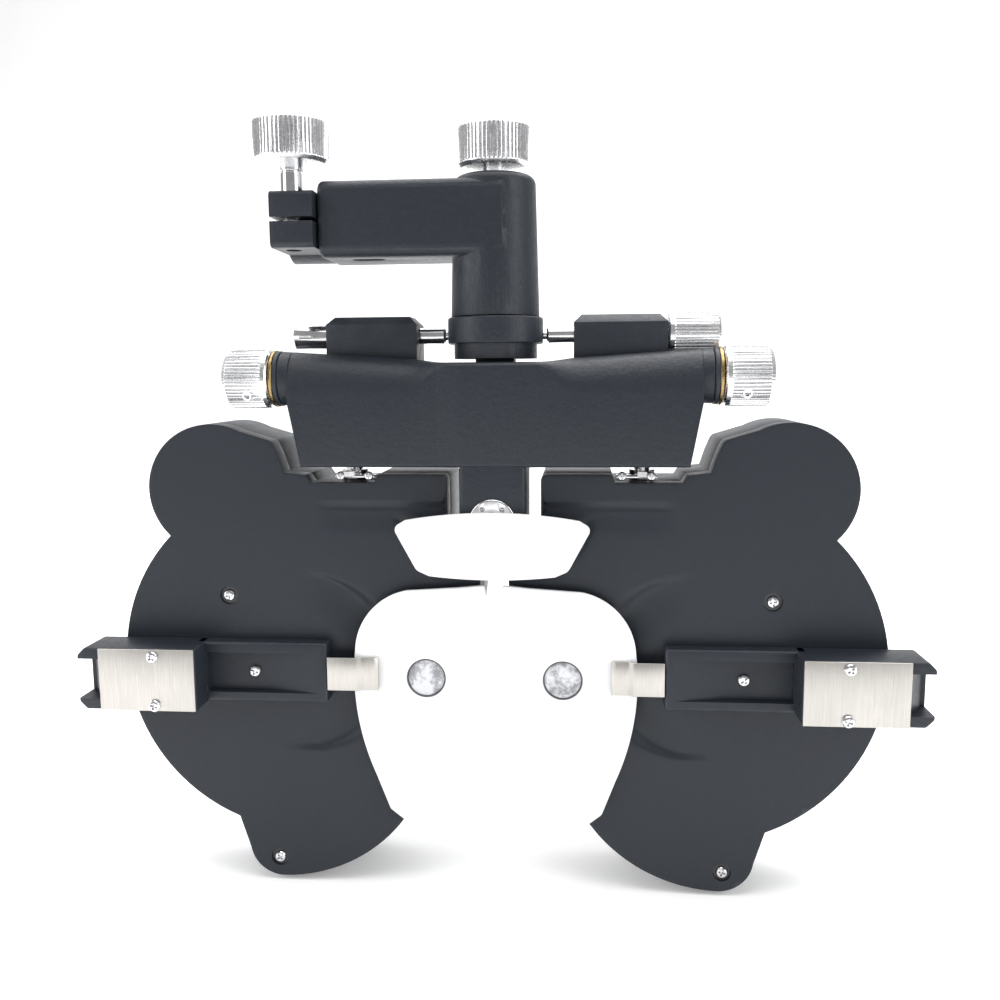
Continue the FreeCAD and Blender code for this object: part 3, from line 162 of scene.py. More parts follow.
def painted_metal(name, grain, depth):
    """Charcoal powder coat with an orange peel of that grain, paler where edges are rubbed."""
    shader = Shader(name, specular_ior_level=0.36)
    drift = shader.spread(shader.noise(11), 0, 1, 0.2, 0.8)
    coat = shader.blend(drift, (0.0135, 0.0175, 0.0245), (0.0155, 0.0195, 0.0265))
    speck = shader.spread(shader.noise(2600, 2), 0, 0.3, 0.5, 0.75)
    coat = shader.blend(speck, coat, (0.034, 0.039, 0.048))
    edge = shader.total(shader.worn_edges(), shader.spread(shader.noise(160), 0.05, 0.35), "MULTIPLY")
    shader.set("base_color", shader.blend(edge, coat, (0.075, 0.082, 0.095)))
    shader.set("roughness", shader.spread(shader.noise(420, 4), 0.40, 0.50))
    peel = shader.total(shader.noise(grain, 2), shader.total(shader.noise(3 * grain, 1), 0.4, "MULTIPLY"))
    shader.bump(peel, depth, 0.5)
    return shader.material


def knurled_metal():
    """Bright turned aluminium."""
    shader = Shader("bright_knurl", metallic=1.0)
    grime = shader.spread(shader.noise(90, 4), 0, 1, 0.35, 0.75)
    shader.set("base_color", shader.blend(grime, (0.90, 0.90, 0.91), (0.74, 0.74, 0.76)))
    shader.set("roughness", shader.spread(shader.noise(700, 3), 0.16, 0.32))
    shader.bump(shader.noise(3800, 2), 0.000012, 0.5)
    return shader.material


def polished_steel():
    """Turned and polished steel of the screws, pins and rims."""
    shader = Shader("polished_steel", metallic=1.0)
    tone = shader.spread(shader.noise(120), 0, 1)
    shader.set("base_color", shader.blend(tone, (0.74, 0.74, 0.75), (0.62, 0.62, 0.64)))
    rings = shader.noise(1800, 2, stretch=(1, 0.05, 0.05))
    shader.set("roughness", shader.spread(rings, 0.08, 0.22))
    shader.bump(rings, 0.000008, 0.4)
    return shader.material


def brushed_steel():
    """Stainless sheet brushed up and down, slightly warm, with faint handling marks."""
    shader = Shader("brushed_sheet", metallic=1.0, anisotropic=0.55)
    grain = shader.noise(900, 4, 0.65, stretch=(4.5, 4.5, 0.09))
    cloud = shader.spread(shader.noise(38, 3), 0, 1)
    warm = shader.blend(cloud, (0.60, 0.575, 0.54), (0.50, 0.48, 0.455))
    shader.set("base_color", shader.blend(shader.spread(grain, 0, 0.6, 0.3, 0.7), warm, (0.41, 0.395, 0.37)))
    shader.set("roughness", shader.spread(grain, 0.26, 0.46))
    shader.bump(grain, 0.000025, 0.5)
    return shader.material


def satin_brass():
    """Dull brass with darker patches."""
    shader = Shader("satin_brass", metallic=1.0)
    tone = shader.spread(shader.noise(240), 0, 1)
    shader.set("base_color", shader.blend(tone, (0.46, 0.33, 0.15), (0.28, 0.20, 0.09)))
    shader.set("roughness", shader.spread(shader.noise(900), 0.18, 0.4))
    shader.bump(shader.noise(2400, 2), 0.00001, 0.5)
    return shader.material


def white_plastic():
    """Moulded polystyrene with a fine spark texture."""
    shader = Shader("white_moulding", subsurface_weight=0.08, subsurface_scale=0.002)
    drift = shader.spread(shader.noise(25), 0, 1)
    shader.set("base_color", shader.blend(drift, (0.90, 0.90, 0.905), (0.86, 0.86, 0.875)))
    shader.set("roughness", shader.spread(shader.noise(600, 3), 0.38, 0.52))
    shader.bump(shader.noise(3200, 2), 0.00002, 0.35)
    return shader.material


def black_dial():
    """Satin black plastic of the dials."""
    shader = Shader("dial_black", specular_ior_level=0.5)
    edge = shader.total(shader.worn_edges(), 0.35, "MULTIPLY")
    coat = shader.blend(shader.spread(shader.noise(60), 0, 1), (0.014, 0.014, 0.016), (0.022, 0.022, 0.025))
    shader.set("base_color", shader.blend(edge, coat, (0.09, 0.09, 0.095)))
    shader.set("roughness", shader.spread(shader.noise(500, 3), 0.28, 0.42))
    shader.bump(shader.noise(2600, 2), 0.00002, 0.5)
    return shader.material


def anodised_disc():
    """Grey anodised aluminium."""
    shader = Shader("disc_anodised", metallic=0.9)
    grain = shader.noise(500, 3)
    tone = shader.spread(grain, 0, 1)
    shader.set("base_color", shader.blend(tone, (0.10, 0.10, 0.11), (0.15, 0.15, 0.16)))
    shader.set("roughness", shader.spread(grain, 0.35, 0.5))
    shader.bump(grain, 0.00001, 0.4)
    return shader.material


def clear_glass():
    """Coated lens glass, a little dusty."""
    shader = Shader("lens_glass", transmission_weight=1.0, ior=1.5, base_color=(0.93, 0.97, 0.96))
    shader.set("roughness", shader.spread(shader.noise(900, 4), 0.01, 0.10, 0.45, 0.8))
    shader.bump(shader.noise(300, 2), 0.000002, 0.3)
    return shader.material


def frosted_glass():
    """Mottled pale glass behind the sight holes."""
    shader = Shader("frosted_glass", specular_ior_level=0.7, coat_weight=0.6, coat_roughness=0.12)
    cloud = shader.noise(150, 5, 0.6)
    fine = shader.noise(620, 4, 0.7)
    mottle = shader.spread(shader.total(cloud, shader.total(fine, 0.45, "MULTIPLY")), 0, 1, 0.62, 0.80)
    shader.set("base_color", shader.blend(mottle, (0.22, 0.23, 0.25), (0.66, 0.67, 0.69)))
    shader.set("roughness", shader.spread(fine, 0.25, 0.5))
    shader.bump(fine, 0.00008, 0.6)
    return shader.material


def satin_mirror():
    """Satin face of the aligners' mirrors."""
    shader = Shader("aligner_mirror", metallic=1.0, base_color=(0.47, 0.47, 0.48))
    shader.set("roughness", shader.spread(shader.noise(400, 3), 0.2, 0.34))
    shader.bump(shader.noise(250, 2), 0.000002, 0.4)
    return shader.material


def dial_ink():
    """Slightly uneven white paint in the engraved marks."""
    shader = Shader("dial_ink")
    tone = shader.spread(shader.noise(1500, 3), 0, 1)
    shader.set("base_color", shader.blend(tone, (0.86, 0.86, 0.84), (0.70, 0.70, 0.68)))
    shader.set("roughness", shader.spread(shader.noise(900), 0.45, 0.65))
    shader.bump(shader.noise(3000, 2), 0.00001, 0.4)
    return shader.material


MATERIALS = {"body": painted_metal("smooth_coat", 1500, 0.00004), "knob": knurled_metal(),
             "steel": polished_steel(), "brushed": brushed_steel(), "brass": satin_brass(),
             "white": white_plastic(), "dial": black_dial(), "disc": anodised_disc(),
             "glass": clear_glass()}
CAST = painted_metal("cast_coat", 520, 0.00036)
FROSTED = frosted_glass()
MIRROR = satin_mirror()
INK = dial_ink()


# ---------------------------------------------------------------- pieces

def finish_piece(name, mesh, body, slot, material=None, replaces=(), sharp=35):
    """Links a mesh as a piece of one body, with its material and smooth shading."""
    piece = bpy.data.objects.new(name, mesh)
    bpy.context.scene.collection.objects.link(piece)
    mesh.materials.clear()
    mesh.materials.append(material or MATERIALS[slot])
    mesh.shade_smooth()
    mesh.set_sharp_from_angle(angle=math.radians(sharp))
    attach(piece, body)
    if replaces:
        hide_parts(*replaces)
    return piece


def mesh_from(name, vertices, faces):
    mesh = bpy.data.meshes.new(name)
    mesh.from_pydata([tuple(v) for v in vertices], [], faces)
    mesh.validate()
    return mesh


def outward(mesh):
    """Makes every face look out of the solid."""
    work = bmesh.new()
    work.from_mesh(mesh)
    bmesh.ops.recalc_face_normals(work, faces=work.faces)
    work.to_mesh(mesh)
    work.free()
    return mesh


def cleaned(node):
    """The CAD node's mesh with its flat faces joined up again."""
    work = bmesh.new()
    work.from_mesh(frame["nodes"][node].data)
    bmesh.ops.remove_doubles(work, verts=work.verts, dist=1e-6)
    bmesh.ops.dissolve_limit(work, angle_limit=math.radians(0.6), verts=work.verts, edges=work.edges)
    mesh = bpy.data.meshes.new(node + "_clean")
    work.to_mesh(mesh)
    work.free()
    return mesh


def bevelled(mesh, width, segments=2, angle=32):
    """A mesh with its sharp edges rounded; width in millimetres."""
    helper = bpy.data.objects.new("bevel_helper", mesh)
    bpy.context.scene.collection.objects.link(helper)
    modifier = helper.modifiers.new("round", "BEVEL")
    modifier.width = width * MM
    modifier.segments = segments
    modifier.limit_method = "ANGLE"
    modifier.angle_limit = math.radians(angle)
    modifier.use_clamp_overlap = True
    modifier.miter_outer = "MITER_ARC"
    bpy.context.view_layer.update()
    result = bpy.data.meshes.new_from_object(helper.evaluated_get(bpy.context.evaluated_depsgraph_get()))
    bpy.data.objects.remove(helper)
    return result


def soften(node, width, segments=2, material=None):
    """Stands in for a CAD node with the same shape and rounded edges."""
    mesh = bevelled(cleaned(node), width, segments)
    mesh.name = node + "_skin"
    return finish_piece(node + "_skin", mesh, BODY_OF[node], SLOTS[node], material, [node])


POINTS_PER_RIDGE = 6


def turned(name, start, direction, profile, body, slot, replaces=(), ridges=0, groove=0.0, plain=96,
           material=None):
    """A turned piece: profile is (distance along, radius, knurl share) from one end to the other."""
    axis = Vector(direction).normalized()
    across = axis.orthogonal().normalized()
    third = axis.cross(across)
    count = ridges * POINTS_PER_RIDGE if ridges else plain
    vertices, faces = [], []
    for distance, radius, share in profile:
        for i in range(count):
            angle = math.tau * i / count
            dip = (0.5 - 0.5 * math.cos(ridges * angle)) ** 2.5 * groove * share if ridges else 0
            spoke = (across * math.cos(angle) + third * math.sin(angle)) * max(radius - dip, 0.02)
            vertices.append(start + (axis * distance + spoke) * MM)
    for ring in range(len(profile) - 1):
        low, high = ring * count, (ring + 1) * count
        faces += [(low + i, low + (i + 1) % count, high + (i + 1) % count, high + i) for i in range(count)]
    faces.append(tuple(range(count))[::-1])
    faces.append(tuple((len(profile) - 1) * count + i for i in range(count)))
    mesh = outward(mesh_from(name, vertices, faces))
    return finish_piece(name, mesh, body, slot, material, replaces, 30)


def revolved(name, centre, axis, loop, body, slot, material=None, replaces=(), ridges=0, groove=0.0):
    """A ring: a closed outline of (distance along the axis, radius) turned round the axis.

    Where ridges are asked for, the points at the largest radius are knurled.
    """
    axis = Vector(axis).normalized()
    across = axis.orthogonal().normalized()
    third = axis.cross(across)
    count = ridges * POINTS_PER_RIDGE if ridges else 96
    outer = max(radius for _, radius in loop)
    vertices, faces = [], []
    for distance, radius in loop:
        knurled = ridges and radius > outer - 0.01
        for i in range(count):
            angle = math.tau * i / count
            cut = groove * (0.5 - 0.5 * math.cos(ridges * angle)) ** 2 if knurled else 0
            spoke = across * math.cos(angle) + third * math.sin(angle)
            vertices.append(centre + (axis * distance + spoke * (radius - cut)) * MM)
    for ring in range(len(loop)):
        here, there = ring * count, (ring + 1) % len(loop) * count
        faces += [(here + i, here + (i + 1) % count, there + (i + 1) % count, there + i)
                  for i in range(count)]
    return finish_piece(name, outward(mesh_from(name, vertices, faces)), body, slot, material, replaces, 30)


def knurled_profile(length, radius, low_chamfer, high_chamfer, hub=2.6, recess=1.0, band=0.0):
    """A knob with bevelled ends, an optional plain band at its foot and a small hollow in its top."""
    foot = low_chamfer + band
    return [(0, 0.02, 0), (0, radius - low_chamfer - 0.2, 0), (0.15, radius - low_chamfer, 0),
            (low_chamfer, radius - 0.15, 0), (low_chamfer + 0.15, radius, 0), (foot + 0.2, radius, 0),
            (foot + 0.7, radius, 1), (length - high_chamfer - 0.5, radius, 1),
            (length - high_chamfer, radius - 0.1, 0.35), (length - 0.2, radius - high_chamfer, 0),
            (length, radius - high_chamfer - 0.3, 0), (length, hub + 0.3, 0), (length - 0.2, hub, 0),
            (length - recess, hub - 0.2, 0), (length - recess, 0.02, 0)]


def boolean(mesh, tool):
    """The mesh with another mesh cut out of it."""
    owner, cutter = (bpy.data.objects.new("boolean_helper", item) for item in (mesh, tool))
    for helper in (owner, cutter):
        bpy.context.scene.collection.objects.link(helper)
    modifier = owner.modifiers.new("boolean", "BOOLEAN")
    modifier.operation = "DIFFERENCE"
    modifier.solver = "EXACT"
    modifier.object = cutter
    bpy.context.view_layer.update()
    result = bpy.data.meshes.new_from_object(owner.evaluated_get(bpy.context.evaluated_depsgraph_get()))
    for helper in (owner, cutter):
        bpy.data.objects.remove(helper)
    return result


def block(x_span, y_span, z_span):
    """A box mesh given in the instrument's millimetres."""
    corners = [at(x, y, z) for x in sorted(x_span) for y in sorted(y_span) for z in sorted(z_span)]
    faces = [(0, 1, 3, 2), (4, 6, 7, 5), (0, 4, 5, 1), (2, 3, 7, 6), (0, 2, 6, 4), (1, 5, 7, 3)]
    return outward(mesh_from("block", corners, faces))


def extruded(points, axis, low, high):
    """A closed outline pushed along one axis; points give the two other coordinates in order."""
    def corner(point, level):
        values = list(point)
        values.insert("xyz".index(axis), level)
        return at(*values)
    count = len(points)
    vertices = [corner(point, level) for level in (low, high) for point in points]
    faces = [tuple(range(count)), tuple(range(count, 2 * count))]
    faces += [(i, (i + 1) % count, count + (i + 1) % count, count + i) for i in range(count)]
    return outward(mesh_from("extruded", vertices, faces))


def circle(first, second, radius, count):
    """Points of a circle in the two coordinates that extruded() takes."""
    angles = [math.tau * i / count for i in range(count)]
    return [(first + radius * math.cos(angle), second + radius * math.sin(angle)) for angle in angles]


def mirrored(points, sign):
    """An outline in (x, y) for the wing on that side."""
    return [(sign * x, y) for x, y in points]


def joined(name, *meshes):
    """One mesh made of several."""
    work = bmesh.new()
    for mesh in meshes:
        work.from_mesh(mesh)
    result = bpy.data.meshes.new(name)
    work.to_mesh(result)
    work.free()
    return result


def islands(node):
    """Lowest and highest corner of every separate solid of a CAD node, in the instrument's millimetres."""
    work = bmesh.new()
    work.from_mesh(frame["nodes"][node].data)
    bmesh.ops.remove_doubles(work, verts=work.verts, dist=1e-6)
    unseen, found = set(work.verts), []
    while unseen:
        pile, members = [unseen.pop()], []
        while pile:
            vertex = pile.pop()
            members.append(local(vertex.co))
            for edge in vertex.link_edges:
                other = edge.other_vert(vertex)
                if other in unseen:
                    unseen.remove(other)
                    pile.append(other)
        found.append([Vector(pick(point[i] for point in members) for i in range(3)) for pick in (min, max)])
    work.free()
    return sorted(found, key=lambda corners: tuple(corners[0]))


def smooth(value, low, high):
    """0 below low, 1 above high and a soft step between."""
    share = min(max((value - low) / (high - low), 0), 1)
    return share * share * (3 - 2 * share)


# ---------------------------------------------------------------- bracket arm and its knobs

THUMB_HEIGHT = 15.5


def thumb_screw(node):
    """Straight-knurled clamp knob, its bright screw and the small boss on top."""
    low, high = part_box(node)
    centre, body = (low + high) / 2, BODY_OF[node]
    radius = (high.x - low.x) / 2 / MM
    foot = Vector((centre.x, centre.y, high.z - THUMB_HEIGHT * MM))
    profile = knurled_profile(THUMB_HEIGHT, radius, 1.1, 0.8, hub=3.4, recess=0.8)
    turned(node + "_grip", foot, UP, profile, body, "knob", [node], ridges=58, groove=0.75)
    reach = (foot.z - low.z) / MM
    shaft = [(0, 0.02, 0), (0, 3.7, 0), (0.5, 4.2, 0), (reach - 3.4, 4.2, 0), (reach - 3.2, 3.8, 0),
             (reach - 2.6, 3.8, 0), (reach - 2.4, 4.6, 0), (reach + 0.3, 4.6, 0), (reach + 0.3, 0.02, 0)]
    turned(node + "_stem", Vector((centre.x, centre.y, low.z)), UP, shaft, body, "steel")
    cap = [(-1.2, 0.02, 0), (-1.2, 3.2, 0), (0.5, 3.2, 0), (0.8, 2.9, 0), (0.8, 1.6, 0), (0.1, 1.5, 0),
           (0.1, 0.02, 0)]
    turned(node + "_cap", Vector((centre.x, centre.y, high.z)), UP, cap, body, "dial")


def bracket():
    """The stand's clamp, the cranked arm, the swivel and their two thumb screws."""
    soften("bracket_arm", 0.5, material=CAST)
    soften("tilt_clamp", 1.8, 4, CAST)
    soften("swivel_hub", 0.4, material=CAST)
    soften("stand_bush", 0.4)
    for node in ("tilt_knob", "rotation_knob"):
        thumb_screw(node)


# ---------------------------------------------------------------- cross bar

PANEL_Y, FLANK_SETBACK, BACK_Y = -7, 1, 24
BOTTOM_Z, END_RISE, TOP_Z = -35.1, 23.6, 4.5
TUBE_Y, TUBE_Z = 5.5, -SCREW_BELOW
TUBE_START, TUBE_END = 10.8, 83
TUBE_RADIUS_START, TUBE_RADIUS_END = 6, 10.5
PANEL_HALF, PANEL_FOOT, SLOPE_START, SLOPE_END = 12.8, 21, 74.2, 78.6
ROOM_START, ROOM_END = 40, 72.4
NUT_RADIUS = 6.3
ROD_BORE_RADIUS = 4.1
PIVOT_X = 57.5
PD_KNOB_LENGTH = 18.2
SECTION_STEPS = 40


def ellipse_arc(centre_y, centre_z, reach_y, reach_z, start, end, steps):
    """Points of an ellipse between two angles, in degrees from +y towards +z."""
    angles = [math.radians(start + (end - start) * i / steps) for i in range(steps + 1)]
    return [(centre_y + reach_y * math.cos(a), centre_z + reach_z * math.sin(a)) for a in angles]


def bar_section(x):
    """Outline (y, z) of the cross bar at one x: flat front, rounded top that grows into the tube.

    Every outline has SECTION_STEPS + 1 points, so that the sections can be skinned.
    """
    x = abs(x)
    growth = (x - TUBE_START) / (TUBE_END - TUBE_START)
    tube = TUBE_RADIUS_START + (TUBE_RADIUS_END - TUBE_RADIUS_START) * growth
    if x > SLOPE_END:
        tube -= 0.5 * smooth(x, TUBE_END - 0.5, TUBE_END)
        return ellipse_arc(TUBE_Y, TUBE_Z, tube, tube, 265, -85, SECTION_STEPS)
    boxy = smooth(x, 32, PANEL_FOOT - 4)
    flank = min(max((x - PANEL_HALF) / (PANEL_FOOT - PANEL_HALF), 0), 1)
    front = PANEL_Y + FLANK_SETBACK * flank
    top = boxy * TOP_Z + (1 - boxy) * (TUBE_Z + tube)
    reach_y = boxy * 2.2 + (1 - boxy) * (TUBE_Y - front)
    reach_z = boxy * 2.2 + (1 - boxy) * (6.8 + tube)
    rise = max(x - SLOPE_START, 0) / (SLOPE_END - SLOPE_START)
    bottom = BOTTOM_Z + END_RISE * rise
    foot = ellipse_arc(front + 1.4, bottom + 1.4, 1.4, 1.4, 270, 180, 4)
    crown = ellipse_arc(front + reach_y, top - reach_z, reach_y, reach_z, 180, 90, 15)
    tube_back = ellipse_arc(TUBE_Y, TUBE_Z, tube, tube, 81, 0, 9)
    flat_back = [(TUBE_Y + 17 * (i + 1) / 10, TOP_Z) for i in range(10)]
    back = [(boxy * flat[0] + (1 - boxy) * bend[0], boxy * flat[1] + (1 - boxy) * bend[1])
            for flat, bend in zip(flat_back, tube_back)]
    shelf = boxy * TOP_Z + (1 - boxy) * TUBE_Z
    heel = ellipse_arc(BACK_Y - 1, shelf - 1, 1, 1, 90, 0, 4)
    base = ellipse_arc(BACK_Y - 1.2, bottom + 1.2, 1.2, 1.2, 0, -90, 4)
    return foot + crown + back + heel + base


def bar_stations():
    """Places along the bar where its section is taken, closer together where the shape turns."""
    half = [0, 6, PANEL_HALF - 0.4, PANEL_HALF, PANEL_HALF + 0.4, 14.5, 17, 19]
    half += [PANEL_FOOT - 0.4, PANEL_FOOT, PANEL_FOOT + 0.4]
    half += [23 + 3 * i for i in range(17)]
    half += [SLOPE_START - 0.4, SLOPE_START, 75.2, 76.4, 77.6, SLOPE_END]
    half += [SLOPE_END + 0.02, 80, 82, 82.5, 82.75, TUBE_END]
    return [-x for x in reversed(half[1:])] + half


def bar_neck():
    """The block under the panel that holds the forehead rest's rod."""
    half = PANEL_HALF - 0.1
    neck = bevelled(block((-half, half), (PANEL_Y, BACK_Y), (-64, -34)), 1.6, 4)
    bore = circle(0, local(middle("forehead_rod")).z, ROD_BORE_RADIUS, 40)
    return boolean(neck, extruded(bore, "y", -10, 30))


def bar_skin():
    """The cross bar as one casting: panel, flanks and tubes flow into each other; the rooms are cut out."""
    stations = bar_stations()
    sections = [bar_section(x) for x in stations]
    count, last = len(sections[0]), len(stations) - 1
    vertices = [at(x, y, z) for x, section in zip(stations, sections) for y, z in section]
    faces = []
    for here in range(0, last * count, count):
        there = here + count
        faces += [(here + i, here + (i + 1) % count, there + (i + 1) % count, there + i)
                  for i in range(count)]
    faces += [tuple(range(count)), tuple(range(last * count, (last + 1) * count))]
    mesh = outward(mesh_from("bar", vertices, faces))
    mesh = boolean(mesh, block((-9.5, 9.5), (9.1, 20.9), (-26, 6)))
    for sign in SIDES.values():
        mesh = boolean(mesh, block((sign * ROOM_START, sign * ROOM_END), (0.5, 20), (-37.1, TUBE_Z)))
        nut_room = circle(TUBE_Y, TUBE_Z, NUT_RADIUS, 40)
        ends = sorted((sign * ROOM_START, sign * (TUBE_END + 1)))
        mesh = boolean(mesh, extruded(nut_room, "x", *ends))
    skin = joined("hanger_bar_skin", mesh, bar_neck())
    finish_piece("hanger_bar_skin", skin, BODY_OF["hanger_bar"], "body", CAST, ["hanger_bar"], 28)


def pivot_hardware(side, sign):
    """Bright washer, nut and link strap between the bar and a wing."""
    body = BODY_OF[f"{side}_carriage"]
    washer = [(0, 0.02, 0), (0, 4.6, 0), (0.3, 5.0, 0), (1.0, 5.0, 0), (1.2, 4.0, 0), (2.6, 4.0, 0),
              (2.9, 3.6, 0), (2.9, 0.02, 0)]
    turned(f"{side}_pivot_washer", at(sign * PIVOT_X, 15, -41.2), UP, washer, body, "steel", plain=48)
    nut = [(0, 0.02, 0), (0, 3.1, 0), (0.2, 3.4, 0), (2.2, 3.4, 0), (2.4, 3.1, 0), (2.4, 1.2, 0),
           (4.4, 1.2, 0), (4.4, 0.02, 0)]
    turned(f"{side}_pivot_nut", at(sign * PIVOT_X, 4.2, -39.6), UP, nut, body, "steel", plain=6)
    strap = bevelled(block((sign * 47, sign * 62.6), (2.2, 8.4), (-39.9, -38.9)), 0.25, 2)
    finish_piece(f"{side}_pivot_strap", strap, body, "steel")
    for number, along in enumerate((49.2, 60.4)):
        head = cross_recess_head(1.7, 1.1)
        head.transform(Matrix.Translation(at(sign * along, 2.2, -39.0)))
        finish_piece(f"{side}_pivot_screw_{number}", head, body, "steel", sharp=30)


def side_knob(name, node, side, ridges, high_chamfer, replaces):
    """A straight-knurled knob along x; gives back the middle of its foot and its radius."""
    low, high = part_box(node)
    length = PD_KNOB_LENGTH if node == "pd_knobs" else (high.x - low.x) / MM
    inner = (high.x if side > 0 else low.x) - side * length * MM
    start = Vector((inner, (low.y + high.y) / 2, (low.z + high.z) / 2))
    radius = (high.z - low.z) / 2 / MM
    profile = knurled_profile(length, radius, 0.6, high_chamfer, hub=3.0, recess=0.8, band=1.6)
    turned(name, start, (side, 0, 0), profile, BODY_OF[node], "knob", replaces, ridges=ridges, groove=0.62)
    return start, radius


def pd_end(side, sign):
    """One end of the interpupillary screw: knob, its set screw, bush and brass ring."""
    knobs, bushes = BODY_OF["pd_knobs"], BODY_OF["pd_bushes"]
    replaced_knobs = ["pd_knobs"] if sign > 0 else []
    start, radius = side_knob(f"pd_knob_{side}", "pd_knobs", sign, 52, 1.7, replaced_knobs)
    drop = 6.5
    reach = math.sqrt(radius ** 2 - drop ** 2)
    hole = start + Vector((sign * 8.2, 0, -drop)) * MM + Vector((0, -reach, 0)) * MM
    socket = [(-0.7, 0.02, 0), (-0.7, 1.0, 0), (0.45, 1.15, 0), (0.45, 1.75, 0), (0.1, 1.95, 0),
              (-0.8, 1.95, 0), (-0.8, 0.02, 0)]
    turned(f"pd_set_screw_{side}", hole, (0, -1, -0.35), socket, knobs, "steel", plain=32)
    pivot_hardware(side, sign)
    end = abs(local(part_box("pd_bushes")[1]).x)
    axis, foot = (sign, 0, 0), at(sign * TUBE_END, TUBE_Y, TUBE_Z)
    bush = [(0, 7), (0, 10.4), (0.3, 10.7), (end - 84.6, 10.7), (end - 84.4, 10.4), (end - 84.4, 7)]
    replaced_bushes = ["pd_bushes"] if sign > 0 else []
    revolved(f"pd_bush_{side}", foot, axis, bush, bushes, "body", replaces=replaced_bushes)
    ring = [(0, 7), (0, 10.8), (0.2, 11), (1.0, 11), (1.2, 10.8), (1.2, 7)]
    revolved(f"pd_bush_ring_{side}", at(sign * (end - 1.4), TUBE_Y, TUBE_Z), axis, ring, bushes, "brass")


def forehead_grip():
    """Knurled knob behind the bar that sets the forehead rest."""
    low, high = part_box("forehead_knob")
    foot = Vector(((low.x + high.x) / 2, low.y, (low.z + high.z) / 2))
    length, radius = (high.y - low.y) / MM, (high.x - low.x) / 2 / MM
    profile = knurled_profile(length, radius, 0.6, 1.0, hub=4.2, recess=0.4)
    turned("forehead_grip", foot, EXAMINER, profile, BODY_OF["forehead_knob"], "knob", ["forehead_knob"],
           ridges=44, groove=0.6)


def cross_bar():
    """The bar and everything that rides on it between the wings."""
    bar_skin()
    soften("levelling_housings", 0.5, material=CAST)
    soften("near_rod_socket", 0.25)
    soften("forehead_guide", 0.2)
    soften("forehead_pad", 1.5, 4)
    for side, sign in SIDES.items():
        pd_end(side, sign)
    side_knob("levelling_grip", "levelling_knob", 1, 40, 0.9, ["levelling_knob"])
    forehead_grip()


# ---------------------------------------------------------------- rear covers

AXLE_X, AXLE_Z = 79, -114
CREASE_Z = -50.4
FLUTE_RADIUS, FLUTE_DEPTH = 36.7, 2.5
POCKET = [(-5, -53), (44.5, -53), (44.5, -57.5), (41.5, -61), (36, -67), (29.5, -79.5), (-5, -81.5)]
GRID_STEP = 1.3


def depth_in_outline(x, z, outline):
    """Distance from a point to a convex outline's nearest side, negative outside it."""
    nearest = 1e9
    for (x1, z1), (x2, z2) in zip(outline, outline[1:] + outline[:1]):
        side_x, side_z = x2 - x1, z2 - z1
        distance = (side_z * (x - x1) - side_x * (z - z1)) / math.hypot(side_x, side_z)
        nearest = min(nearest, distance)
    return nearest


def crescent(radius, angle, tip):
    """Depth of a curved flute round the disc's axle that widens from its tip towards the nose."""
    share = smooth(tip - abs(angle), 0, tip - 34)
    outer, inner = FLUTE_RADIUS + 4.4 * share ** 1.5, FLUTE_RADIUS - 2.3 * share
    if share <= 0 or radius >= outer:
        return 0
    wall = smooth(outer - radius, 0, outer - inner)
    return FLUTE_DEPTH * share ** 0.7 * wall * smooth(radius, inner - 17, inner)


def relief(x, z):
    """How deep the cover's face lies below its flat level, in millimetres."""
    x = abs(x)
    along, up = AXLE_X - x, z - AXLE_Z
    angle = math.degrees(math.atan2(up, along))
    flute = crescent(math.hypot(along, up), angle, 88 if angle > 0 else 106)
    fade = smooth(x, 72, 60)
    crease = 1.1 * fade * smooth(abs(z - CREASE_Z), 0.9, 0.25)
    step = 0.6 * fade * smooth(z, CREASE_Z, CREASE_Z - 0.7) * smooth(z, -63, -53)
    pocket = 1.7 * smooth(depth_in_outline(x, z, POCKET), 0, 6)
    return max(flute, crease, step, pocket)


def inside(x, z, sides):
    """Even-odd test of a point against the closed outlines made of the sides."""
    crossings = 0
    for (x1, z1), (x2, z2) in sides:
        if (z1 > z) != (z2 > z) and x < x1 + (z - z1) * (x2 - x1) / (z2 - z1):
            crossings += 1
    return crossings % 2 == 1


